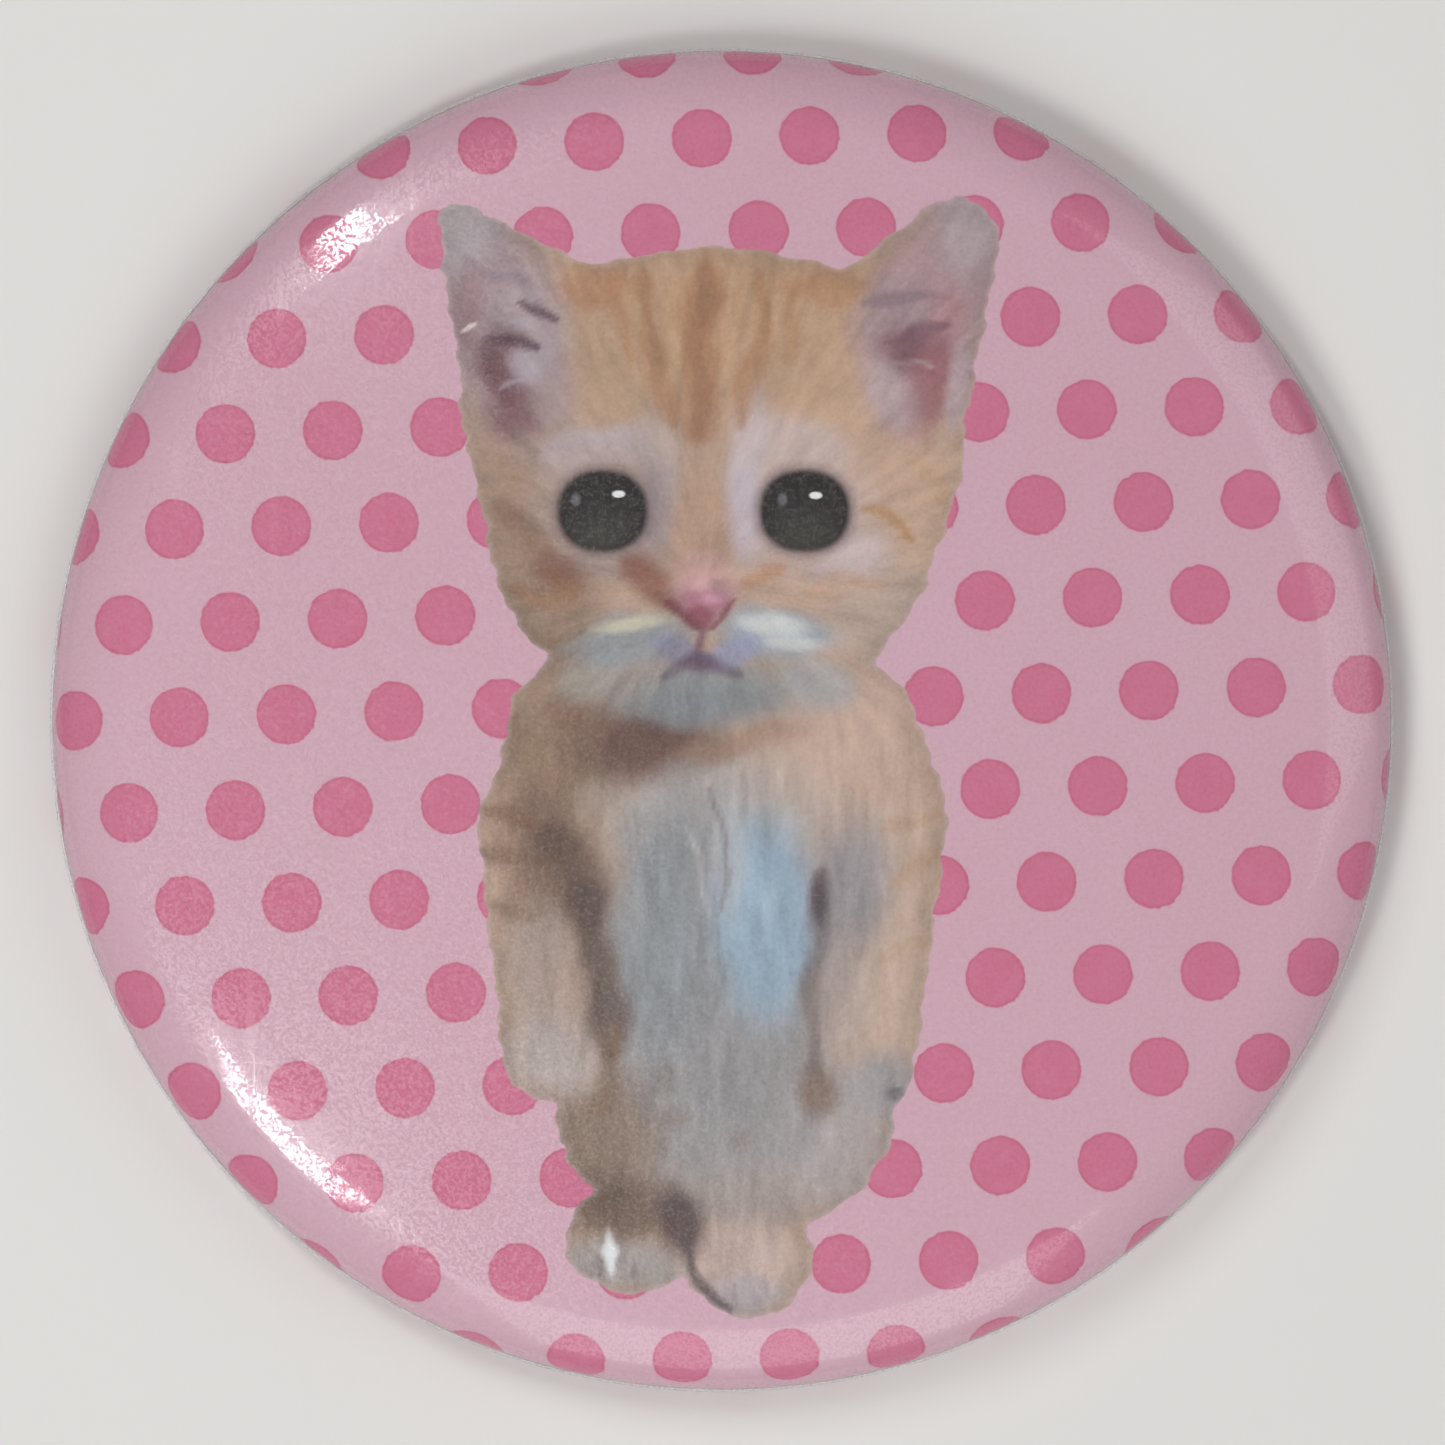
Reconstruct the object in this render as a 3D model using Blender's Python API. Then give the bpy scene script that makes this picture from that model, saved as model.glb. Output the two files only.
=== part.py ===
"""Pin-back button badge with a wire pin, built as its real pieces.

Blender 4.5, metres, +Z up. The origin is the centre of the ring that the badge lies on. +Z points out
through the printed face, +Y is up as worn, and +X is to the right as seen from the front.

A domed tinplate shell carries the printed paper, and a clear film covers both. Film and paper run round
the rim, under the shell's lip and back over its edge as a hem, which the flange of the dished back plate
pinches. One spring wire is the pin: its leg lies under two straps pressed out of the plate, its end is
hooked through a foot hole, a U-shaped bend is its spring, and the needle rests in a catch pressed out of
the plate.
"""

import math
from collections import namedtuple

import bmesh
import bpy
from mathutils import Vector

MM = 0.001

# Overall sizes of the face
BADGE_DIAMETER = 58.0 * MM
CROWN_RADIUS = 200.0 * MM  # radius of the gentle dome across the middle
SHOULDER_RADIUS = 6.0 * MM  # tighter curve where the dome turns down to the rim
SHOULDER_SLOPE = math.radians(35.0)  # slope of the face where the shoulder meets the rim's roll
ROLL_RADIUS = 1.9 * MM  # round edge between face and side
SIDE_HEIGHT = 0.5 * MM  # straight upright side
CURL_RADIUS = 1.3 * MM  # turn from the side to the lip underneath
LIP_WIDTH = 1.1 * MM  # flat ring that the badge lies on
TUCK_LENGTH = 0.9 * MM  # film and paper folded back over the lip

# Sheet thicknesses and the gaps between pressed layers
FILM_THICKNESS = 0.10 * MM
PAPER_THICKNESS = 0.15 * MM
SHELL_THICKNESS = 0.20 * MM
PLATE_THICKNESS = 0.24 * MM
LAYER_GAP = 0.05 * MM

# Back plate
PLATE_PLAY = 0.25 * MM  # between the flange's edge and the shell's side
WELL_RADIUS = 20.5 * MM  # flat floor of the well that holds the pin
WELL_DEPTH = 2.25 * MM
WELL_SLOPE = math.radians(50.0)
PLATE_BEND_RADIUS = 0.9 * MM

# Pin wire
WIRE_DIAMETER = 0.9 * MM
SPRING_RADIUS = 3.0 * MM  # middle of the U-shaped bend, half the distance from leg to needle
SPRING_END = -14.5 * MM  # x where the bend's straight parts begin
NEEDLE_TIP = 17.0 * MM  # x of the point
NEEDLE_CLEARANCE = 1.05 * MM  # room for cloth between the needle and the plate
POINT_LENGTH = 4.0 * MM
POINT_DIAMETER = 0.08 * MM
POINT_FULLNESS = 1.2  # width halfway along the point, over that of a straight cone
LEG_END = 8.0 * MM  # x of the turned-up foot
FOOT_BEND_RADIUS = 0.9 * MM
FOOT_HEIGHT = 0.5 * MM  # how far the foot stands above the plate, inside the badge
WIRE_GAP = 0.05 * MM  # between the leg and the plate
HINGE_GAP = 0.10 * MM  # between the moving and the fixed part of the wire

# Pressed-out catch and straps
CATCH_X = 14.0 * MM
CATCH_WIDTH = 3.0 * MM
CATCH_CLEARANCE = 0.25 * MM
CATCH_LIP = 1.1 * MM
OPENING_TILT = math.radians(25.0)  # the needle leaves the catch sideways, leaning this much off the plate
STRAP_X = (-9.0 * MM, 3.0 * MM)
STRAP_WIDTH = 2.6 * MM
STRAP_CLEARANCE = 0.10 * MM
STRAP_SLOPE = math.radians(45.0)
TAB_THICKNESS = 0.20 * MM  # the plate thins where it is pressed out
TAB_BEND_RADIUS = 0.35 * MM  # at the middle of a tab's thickness
TAB_FOOTING = 0.50 * MM  # flat end of a tab that runs on into the plate
SLIT_WIDTH = 0.20 * MM  # punched slit beside a tab
FOOT_HOLE_CLEARANCE = 0.20 * MM

# Fineness of the round shapes
TURNS = 48
WIRE_BEVEL = 3
NEEDLE_SIDES = 16
BEND_STEP = math.radians(15.0)
RIM_STEP = math.radians(30.0)
CROWN_STEPS = 5
SHOULDER_STEPS = 2
FOOT_STEPS = 6
SPRING_STEPS = 18
HOLE_SIDES = 24
NEEDLE_END_STEPS = 5
SHARP_ANGLE = math.radians(40.0)
MERGE_DISTANCE = 0.001 * MM

# A point of a sheet's section. Heading 0 runs outwards and a quarter turn runs down.
Station = namedtuple("Station", "out up heading")


def line(path, length):
    """The path with a straight stretch added to its end."""
    last = path[-1]
    out = last.out + length * math.cos(last.heading)
    up = last.up - length * math.sin(last.heading)
    return path + [Station(out, up, last.heading)]


def bend(path, radius, heading, step=BEND_STEP):
    """The path with a bend added to its end, turning to a new heading."""
    last = path[-1]
    signed = math.copysign(radius, heading - last.heading)
    steps = max(1, math.ceil(abs(heading - last.heading) / step))
    made = []
    for i in range(1, steps + 1):
        h = last.heading + (heading - last.heading) * i / steps
        out = last.out + signed * (math.sin(h) - math.sin(last.heading))
        up = last.up + signed * (math.cos(h) - math.cos(last.heading))
        made.append(Station(out, up, h))
    return path + made


def inset(path, depth):
    """Points (out, up) of the path moved sideways, downwards where it runs outwards."""
    return [(s.out - depth * math.sin(s.heading), s.up - depth * math.cos(s.heading)) for s in path]


def sheet(path, near, far):
    """Closed outline of a sheet whose two faces lie at these depths under the path."""
    return inset(path, near) + list(reversed(inset(path, far)))


def depths():
    """Depth of both faces of each layer under the film's outer surface."""
    layers = {}
    depth = 0.0
    sheets = (("film", FILM_THICKNESS), ("paper", PAPER_THICKNESS), ("shell", SHELL_THICKNESS))
    for name, thickness in sheets:
        layers[name] = (depth, depth + thickness)
        depth += thickness + LAYER_GAP
    return layers


def face_paths():
    """Sections of the film's outer surface: up to the lip's end, and on round the hem to the tuck's end."""
    quarter = math.pi / 2
    shell_near, shell_far = depths()["shell"]
    hem_radius = (shell_near + shell_far) / 2
    steep = math.sin(SHOULDER_SLOPE)
    crown_reach = BADGE_DIAMETER / 2 - SHOULDER_RADIUS * steep - ROLL_RADIUS * (1 - steep)
    crown_slope = math.asin(crown_reach / (CROWN_RADIUS - SHOULDER_RADIUS))
    path = bend([Station(0.0, 0.0, 0.0)], CROWN_RADIUS, crown_slope, step=crown_slope / CROWN_STEPS)
    shoulder_step = (SHOULDER_SLOPE - crown_slope) / SHOULDER_STEPS
    path = bend(path, SHOULDER_RADIUS, SHOULDER_SLOPE, step=shoulder_step)
    path = bend(path, ROLL_RADIUS, quarter, step=RIM_STEP)
    path = line(path, SIDE_HEIGHT)
    path = bend(path, CURL_RADIUS, 2 * quarter, step=RIM_STEP)
    path = line(path, LIP_WIDTH)
    height = -path[-1].up
    lip = [Station(s.out, s.up + height, s.heading) for s in path]
    return lip, line(bend(lip, hem_radius, 4 * quarter, step=RIM_STEP), TUCK_LENGTH)


def plate_levels():
    """Heights of the plate's back faces: its flange, which sits on the hem, and the floor of its well."""
    shell_near, shell_far = depths()["shell"]
    flange = shell_near + shell_far + LAYER_GAP
    return flange, flange + WELL_DEPTH


def plate_path():
    """Section of the plate's inner face, from its middle out to the flange's edge."""
    floor = plate_levels()[1] + PLATE_THICKNESS
    turn = math.tan(WELL_SLOPE / 2)
    outer_bend = PLATE_BEND_RADIUS + PLATE_THICKNESS
    bend_depth = (outer_bend + PLATE_BEND_RADIUS) * (1 - math.cos(WELL_SLOPE))
    straight = (WELL_DEPTH - bend_depth) / math.sin(WELL_SLOPE)
    edge = BADGE_DIAMETER / 2 - depths()["shell"][1] - PLATE_PLAY
    path = line([Station(0.0, floor, 0.0)], WELL_RADIUS - outer_bend * turn)
    path = bend(path, outer_bend, WELL_SLOPE)
    path = line(path, straight)
    path = bend(path, PLATE_BEND_RADIUS, 0.0)
    return line(path, edge - path[-1].out)


def wire_heights():
    """Heights of the wire's middle: in the leg, which lies on the plate, and in the needle."""
    radius = WIRE_DIAMETER / 2
    floor = plate_levels()[1]
    return floor - WIRE_GAP - radius, floor - NEEDLE_CLEARANCE - radius


def material(name, colour, roughness, metallic):
    """A plain finish."""
    made = bpy.data.materials.new(name)
    made.use_nodes = True
    shader = made.node_tree.nodes["Principled BSDF"]
    shader.inputs["Base Color"].default_value = (*colour, 1.0)
    shader.inputs["Roughness"].default_value = roughness
    shader.inputs["Metallic"].default_value = metallic
    return made


def place(name, data, finish, location=(0.0, 0.0, 0.0)):
    """An object of this mesh or curve, linked to the scene."""
    made = bpy.data.objects.new(name, data)
    made.location = location
    data.materials.append(finish)
    bpy.context.scene.collection.objects.link(made)
    return made


def turned(name, outline, finish):
    """A closed outline of (out, up) points, whose ends lie on the axis or meet, turned round Z."""
    shape = bmesh.new()
    points = [shape.verts.new((out, 0.0, up)) for out, up in outline]
    edges = [shape.edges.new(pair) for pair in zip(points, points[1:])]
    bmesh.ops.spin(shape, geom=points + edges, axis=(0, 0, 1), cent=(0, 0, 0), angle=math.tau, steps=TURNS)
    bmesh.ops.remove_doubles(shape, verts=shape.verts, dist=MERGE_DISTANCE)
    bmesh.ops.recalc_face_normals(shape, faces=shape.faces)
    mesh = bpy.data.meshes.new(name)
    shape.to_mesh(mesh)
    shape.free()
    mesh.shade_smooth()
    mesh.set_sharp_from_angle(angle=SHARP_ANGLE)
    return place(name, mesh, finish)


def extruded(name, outline, middle, width, finish):
    """A closed outline of (y, z) points, extruded along X about its middle."""
    shape = bmesh.new()
    left = middle - width / 2
    flat = shape.faces.new([shape.verts.new((left, y, z)) for y, z in outline])
    made = bmesh.ops.extrude_face_region(shape, geom=[flat])
    moved = [v for v in made["geom"] if isinstance(v, bmesh.types.BMVert)]
    bmesh.ops.translate(shape, vec=(width, 0, 0), verts=moved)
    bmesh.ops.recalc_face_normals(shape, faces=shape.faces)
    mesh = bpy.data.meshes.new(name)
    shape.to_mesh(mesh)
    shape.free()
    return place(name, mesh, finish)


def combine(target, helper, operation):
    """A Boolean of target with a helper, which is kept out of the render."""
    helper.hide_render = True
    helper.display_type = "WIRE"
    step = target.modifiers.new(helper.name, "BOOLEAN")
    step.operation = operation
    step.object = helper


def add_tab(plate, name, path, window, middle, width, finish):
    """Cuts a window (y from, y to) in the plate and adds the tab that was pressed out of it."""
    floor = plate_levels()[1]
    low, high = floor - PLATE_THICKNESS, floor + 2 * PLATE_THICKNESS
    near, far = window
    outline = [(near, low), (far, low), (far, high), (near, high)]
    cutter = extruded(name + "_window", outline, middle, width + 2 * SLIT_WIDTH, finish)
    combine(plate, cutter, "DIFFERENCE")
    section = sheet(path, -TAB_THICKNESS / 2, TAB_THICKNESS / 2)
    combine(plate, extruded(name + "_tab", section, middle, width, finish), "UNION")


def add_catch(plate, finish):
    """The catch: a riser beside the needle and a lip under it, open towards +Y."""
    needle_height = wire_heights()[1]
    root = plate_levels()[1] + PLATE_THICKNESS / 2
    reach = WIRE_DIAMETER / 2 + CATCH_CLEARANCE + TAB_THICKNESS / 2
    riser = SPRING_RADIUS - reach
    start = riser - TAB_BEND_RADIUS
    drop = root - TAB_BEND_RADIUS - needle_height
    path = line([Station(start - TAB_FOOTING, root, 0.0)], TAB_FOOTING)
    path = line(bend(path, TAB_BEND_RADIUS, math.pi / 2), drop)
    path = line(bend(path, reach, OPENING_TILT), CATCH_LIP)
    turns = TAB_BEND_RADIUS * math.pi / 2 + reach * (math.pi / 2 - OPENING_TILT)
    add_tab(plate, "catch", path, (start, start + turns + drop + CATCH_LIP), CATCH_X, CATCH_WIDTH, finish)


def add_straps(plate, finish):
    """The two straps that hold the leg against the plate."""
    root = plate_levels()[1] + PLATE_THICKNESS / 2
    reach = WIRE_DIAMETER / 2 + STRAP_CLEARANCE + TAB_THICKNESS / 2
    drop = root - wire_heights()[0] + reach
    turn = math.tan(STRAP_SLOPE / 2)
    ramp = (drop - 2 * TAB_BEND_RADIUS * (1 - math.cos(STRAP_SLOPE))) / math.sin(STRAP_SLOPE)
    half = reach + drop / math.tan(STRAP_SLOPE) + TAB_BEND_RADIUS * turn
    flat = 2 * (reach - TAB_BEND_RADIUS * turn)
    start = -SPRING_RADIUS - half
    path = line([Station(start - TAB_FOOTING, root, 0.0)], TAB_FOOTING)
    path = line(bend(path, TAB_BEND_RADIUS, STRAP_SLOPE), ramp)
    path = line(bend(path, TAB_BEND_RADIUS, 0.0), flat)
    path = line(bend(path, TAB_BEND_RADIUS, -STRAP_SLOPE), ramp)
    path = line(bend(path, TAB_BEND_RADIUS, 0.0), TAB_FOOTING)
    for number, middle in enumerate(STRAP_X, start=1):
        add_tab(plate, f"strap_{number}", path, (start, start + 2 * half), middle, STRAP_WIDTH, finish)


def add_foot_hole(plate, finish):
    """The oval hole that the leg's turned-up end is hooked through."""
    radius = WIRE_DIAMETER / 2 + FOOT_HOLE_CLEARANCE
    half_length = (FOOT_BEND_RADIUS + radius) / 2
    shape = bmesh.new()
    depth = 4 * PLATE_THICKNESS
    bmesh.ops.create_cone(shape, cap_ends=True, segments=HOLE_SIDES, radius1=1.0, radius2=1.0, depth=depth)
    bmesh.ops.scale(shape, vec=(half_length, radius, 1.0), verts=shape.verts)
    middle = (LEG_END + radius - half_length, -SPRING_RADIUS, plate_levels()[1])
    bmesh.ops.translate(shape, vec=middle, verts=shape.verts)
    mesh = bpy.data.meshes.new("foot_hole")
    shape.to_mesh(mesh)
    shape.free()
    combine(plate, place("foot_hole", mesh, finish), "DIFFERENCE")


def leg_route():
    """Points of the fixed wire, from the top of its foot along the leg and round the U-shaped bend."""
    low, high = wire_heights()[0], plate_levels()[1] + PLATE_THICKNESS + FOOT_HEIGHT
    points = [Vector((LEG_END, -SPRING_RADIUS, high))]
    corner = Vector((LEG_END - FOOT_BEND_RADIUS, -SPRING_RADIUS, low + FOOT_BEND_RADIUS))
    for i in range(FOOT_STEPS + 1):
        turned_by = math.pi / 2 * i / FOOT_STEPS
        points.append(corner + FOOT_BEND_RADIUS * Vector((math.cos(turned_by), 0.0, -math.sin(turned_by))))
    for i in range(SPRING_STEPS + 1):
        share = i / SPRING_STEPS
        across = SPRING_RADIUS * math.cos(math.pi * share)
        along = SPRING_END - SPRING_RADIUS * math.sin(math.pi * share)
        eased = (1 - math.cos(math.pi * share)) / 2
        points.append(Vector((along, -across, low + (wire_heights()[1] - low) * eased)))
    return points


def make_leg(finish):
    """The fixed wire: foot, leg and U-shaped bend, up to the needle."""
    route = leg_route()
    curve = bpy.data.curves.new("spring_leg", "CURVE")
    curve.dimensions = "3D"
    curve.bevel_depth = WIRE_DIAMETER / 2
    curve.bevel_resolution = WIRE_BEVEL
    curve.use_fill_caps = True
    spline = curve.splines.new("POLY")
    spline.points.add(len(route) - 1)
    for point, place_of_point in zip(spline.points, route):
        point.co = (*place_of_point, 1.0)
    return place("spring_leg", curve, finish)


def make_needle(finish):
    """The needle, turned about its own length, with its rounded end centred on the hinge."""
    radius = WIRE_DIAMETER / 2
    hinge_x = SPRING_END + HINGE_GAP + radius
    length = NEEDLE_TIP - hinge_x
    angles = [math.pi / 2 * i / NEEDLE_END_STEPS for i in range(NEEDLE_END_STEPS + 1)]
    outline = [(-radius * math.cos(a), radius * math.sin(a)) for a in angles]
    outline.append((length - POINT_LENGTH, radius))
    halfway = (radius + POINT_DIAMETER / 2) / 2 * POINT_FULLNESS
    outline.append((length - POINT_LENGTH / 2, halfway))
    outline.append((length, POINT_DIAMETER / 2))
    outline.append((length, 0.0))
    shape = bmesh.new()
    points = [shape.verts.new((along, 0.0, up)) for along, up in outline]
    edges = [shape.edges.new(pair) for pair in zip(points, points[1:])]
    around = {"axis": (1, 0, 0), "cent": (0, 0, 0), "angle": math.tau}
    bmesh.ops.spin(shape, geom=points + edges, steps=NEEDLE_SIDES, **around)
    bmesh.ops.remove_doubles(shape, verts=shape.verts, dist=MERGE_DISTANCE)
    bmesh.ops.recalc_face_normals(shape, faces=shape.faces)
    mesh = bpy.data.meshes.new("needle")
    shape.to_mesh(mesh)
    shape.free()
    mesh.shade_smooth()
    mesh.set_sharp_from_angle(angle=SHARP_ANGLE)
    return place("needle", mesh, finish, (hinge_x, SPRING_RADIUS, wire_heights()[1]))


def build():
    """The whole badge."""
    for old in list(bpy.data.objects):
        bpy.data.objects.remove(old, do_unlink=True)
    film = material("clear_film", (0.90, 0.91, 0.92), 0.08, 0.0)
    paper = material("printed_paper", (0.62, 0.38, 0.42), 0.55, 0.0)
    shell = material("shell_tinplate", (0.62, 0.62, 0.60), 0.32, 1.0)
    plate = material("plate_tinplate", (0.66, 0.66, 0.64), 0.30, 1.0)
    leg = material("leg_spring_steel", (0.52, 0.53, 0.54), 0.25, 1.0)
    point = material("needle_spring_steel", (0.56, 0.57, 0.58), 0.22, 1.0)

    layers = depths()
    lip, hem = face_paths()
    turned("clear_film", sheet(hem, *layers["film"]), film)
    turned("printed_paper", sheet(hem, *layers["paper"]), paper)
    turned("front_shell", sheet(lip, *layers["shell"]), shell)
    back_plate = turned("back_plate", sheet(plate_path(), 0.0, PLATE_THICKNESS), plate)
    add_catch(back_plate, plate)
    add_straps(back_plate, plate)
    add_foot_hole(back_plate, plate)
    make_leg(leg)
    make_needle(point)


build()
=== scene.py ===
"""Pin-back button badge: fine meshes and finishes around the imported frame.

A clear film and a printed sheet of paper are drawn over a domed tinplate shell and turned in under its
edge. A dished tinplate plate closes the back and carries the spring-wire pin. The print is a ginger kitten
on a dotted ground.
"""

import logging
import math
from dataclasses import dataclass, field
from enum import Enum
from typing import Any, Optional, Sequence, Union

import bmesh
import bpy
import numpy as np
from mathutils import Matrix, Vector


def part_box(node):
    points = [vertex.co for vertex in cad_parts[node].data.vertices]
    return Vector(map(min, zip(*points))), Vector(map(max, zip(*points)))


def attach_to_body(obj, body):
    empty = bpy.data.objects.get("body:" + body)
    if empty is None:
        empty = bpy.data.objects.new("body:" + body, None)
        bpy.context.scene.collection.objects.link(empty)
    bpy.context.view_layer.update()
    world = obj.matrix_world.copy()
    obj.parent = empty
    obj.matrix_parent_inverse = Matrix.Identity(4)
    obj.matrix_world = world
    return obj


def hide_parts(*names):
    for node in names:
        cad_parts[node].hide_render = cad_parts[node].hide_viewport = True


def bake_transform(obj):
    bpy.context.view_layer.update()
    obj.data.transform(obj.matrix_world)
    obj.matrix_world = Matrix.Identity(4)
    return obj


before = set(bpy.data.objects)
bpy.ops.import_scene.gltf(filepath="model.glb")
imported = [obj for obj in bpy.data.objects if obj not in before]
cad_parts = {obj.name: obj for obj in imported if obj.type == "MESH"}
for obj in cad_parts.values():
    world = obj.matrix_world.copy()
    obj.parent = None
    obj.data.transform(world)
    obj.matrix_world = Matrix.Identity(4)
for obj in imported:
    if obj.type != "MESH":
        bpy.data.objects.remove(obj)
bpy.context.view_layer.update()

LOG = logging.getLogger("badge")
MM = 0.001
WHOLE_TURN = 2 * math.pi
HALF_TURN = math.pi
QUARTER_TURN = math.pi / 2

Array = np.ndarray
Colour = tuple[float, float, float]
Point = tuple[float, float]
Row = tuple[Any, ...]
Step = tuple[bpy.types.Object, str]


class Body(Enum):
    """The rigid bodies that pieces ride on."""

    BADGE = "badge"
    NEEDLE = "needle"


class Node(Enum):
    """The frame's nodes."""

    FILM = "clear_film"
    PAPER = "printed_paper"
    SHELL = "front_shell"
    PLATE = "back_plate"
    LEG = "spring_leg"
    NEEDLE = "needle"


class Slot(Enum):
    """The record's material slots."""

    FILM = "clear_film"
    PAPER = "printed_paper"
    SHELL = "shell_tinplate"
    PLATE = "plate_tinplate"
    WIRE = "spring_wire"


class Layer(Enum):
    """The named layers of points that the print's shader reads from the paper."""

    PLACE = "print_place"
    INK = "kitten_ink"
    EDGE = "kitten_edge"


def ink(red: int, green: int, blue: int, light: float = 0.80) -> Colour:
    """A linear colour from a printed one on the 0 to 255 scale, as it looks under a light."""
    return tuple(min(0.95, (c / 255) ** 2.2 / light) for c in (red, green, blue))


# Shader maths


class Value:
    """A number that changes over a surface: a socket with arithmetic."""

    def __init__(self, graph: "Tree", socket: bpy.types.NodeSocket) -> None:
        """Wraps a socket of a tree."""
        self.graph = graph
        self.socket = socket

    def apply(self, operation: str, *others: Union["Value", float]) -> "Value":
        """The result of a Math node on this value and others."""
        return self.graph.calc(operation, self, *others)

    def __add__(self, other: Union["Value", float]) -> "Value":
        """Sum."""
        return self.apply("ADD", other)

    def __sub__(self, other: Union["Value", float]) -> "Value":
        """Difference."""
        return self.apply("SUBTRACT", other)

    def __mul__(self, other: Union["Value", float]) -> "Value":
        """Product."""
        return self.apply("MULTIPLY", other)

    def __truediv__(self, other: Union["Value", float]) -> "Value":
        """Quotient."""
        return self.apply("DIVIDE", other)

    def __pow__(self, other: float) -> "Value":
        """Power."""
        return self.apply("POWER", other)

    def __rsub__(self, other: float) -> "Value":
        """A number less this value."""
        return self.graph.calc("SUBTRACT", other, self)

    __radd__ = __add__
    __rmul__ = __mul__


class Tree:
    """A node tree under construction."""

    tree: bpy.types.NodeTree

    def node(self, kind: str, settings: Optional[dict[str, Any]] = None,
             sockets: Optional[dict[Union[str, int], Any]] = None) -> bpy.types.Node:
        """Adds a node.

        Args:
            kind: The node's type.
            settings: Its properties.
            sockets: Numbers, or links from Values or sockets, by input name or number.

        Returns:
            The node.
        """
        made = self.tree.nodes.new(kind)
        for key, setting in (settings or {}).items():
            setattr(made, key, setting)
        for key, given in (sockets or {}).items():
            if isinstance(given, Value):
                given = given.socket
            if isinstance(given, bpy.types.NodeSocket):
                self.tree.links.new(given, made.inputs[key])
            elif isinstance(given, tuple) and len(made.inputs[key].default_value) > len(given):
                made.inputs[key].default_value = (*given, 1.0)
            else:
                made.inputs[key].default_value = given
        return made

    def calc(self, operation: str, *given: Union[Value, float]) -> Value:
        """A Math node on numbers and values."""
        made = self.node("ShaderNodeMath", {"operation": operation}, dict(enumerate(given)))
        return Value(self, made.outputs[0])


class Graph(Tree):
    """A material's node tree."""

    def __init__(self, name: str) -> None:
        """Starts an empty material."""
        self.material = bpy.data.materials.new(name)
        self.material.use_nodes = True
        self.tree = self.material.node_tree
        self.tree.nodes.clear()

    def ramp(self, value: Value, low: float, high: float) -> Value:
        """A smooth step of a value.

        Args:
            value: The value.
            low: Where the step is 0.
            high: Where the step is 1. It may lie below low.

        Returns:
            The step.
        """
        made = self.node("ShaderNodeMapRange", {"interpolation_type": "SMOOTHSTEP"},
                         {"Value": value, "From Min": min(low, high), "From Max": max(low, high)})
        step = Value(self, made.outputs[0])
        return 1 - step if low > high else step

    def mix(self, share: Union[Value, float], below: Any, above: Any,
            blend: str = "MIX") -> bpy.types.NodeSocket:
        """A mix of two colours."""
        settings = {"data_type": "RGBA", "blend_type": blend}
        return self.node("ShaderNodeMix", settings, {0: share, 6: below, 7: above}).outputs[2]

    def noise(self, place: Any, scale: float, detail: float = 2.0, roughness: float = 0.5) -> Value:
        """Noise of a given scale per metre, about 0.5."""
        sockets = {"Vector": place, "Scale": scale, "Detail": detail, "Roughness": roughness}
        return Value(self, self.node("ShaderNodeTexNoise", None, sockets).outputs["Fac"])

    def stretched(self, place: Any, scale: Sequence[float], turn: float = 0.0) -> bpy.types.NodeSocket:
        """Coordinates stretched along the axes and turned about Z."""
        sockets = {"Vector": place, "Scale": tuple(scale), "Rotation": (0.0, 0.0, turn)}
        return self.node("ShaderNodeMapping", None, sockets).outputs[0]

    def scratches(self, place: Any, runs: Sequence[Point], along: float, start: float) -> Value:
        """Hair scratches.

        Args:
            place: Coordinates.
            runs: Direction of each run of scratches in radians, and its scale across them.
            along: Scale along the scratches.
            start: Level of the noise where a scratch begins. A low level gives more of them.

        Returns:
            1 on a scratch and 0 beside it.
        """
        found = None
        for turn, scale in runs:
            lines = self.noise(self.stretched(place, (scale, along, along), turn), 1.0, 1.0)
            marks = self.ramp(lines, start, 0.78)
            found = marks if found is None else found.apply("MAXIMUM", marks)
        return found

    def place(self) -> bpy.types.NodeSocket:
        """Object coordinates."""
        return self.node("ShaderNodeTexCoord").outputs["Object"]

    def layer(self, name: str, output: str = "Vector") -> bpy.types.NodeSocket:
        """A named layer of the mesh."""
        return self.node("ShaderNodeAttribute", {"attribute_name": name}).outputs[output]

    def split(self, vector: Any) -> tuple[Value, Value, Value]:
        """A vector's three numbers."""
        made = self.node("ShaderNodeSeparateXYZ", None, {0: vector})
        return tuple(Value(self, made.outputs[i]) for i in range(3))

    def bump(self, height: Value, distance: float, strength: float = 1.0) -> bpy.types.NodeSocket:
        """A normal bumped by a height."""
        sockets = {"Height": height, "Distance": distance, "Strength": strength}
        return self.node("ShaderNodeBump", None, sockets).outputs[0]

    def finish(self, shader: bpy.types.Node) -> bpy.types.Material:
        """Connects a shader to the output."""
        self.node("ShaderNodeOutputMaterial", None, {"Surface": shader.outputs[0]})
        return self.material


# Finishes


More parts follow.
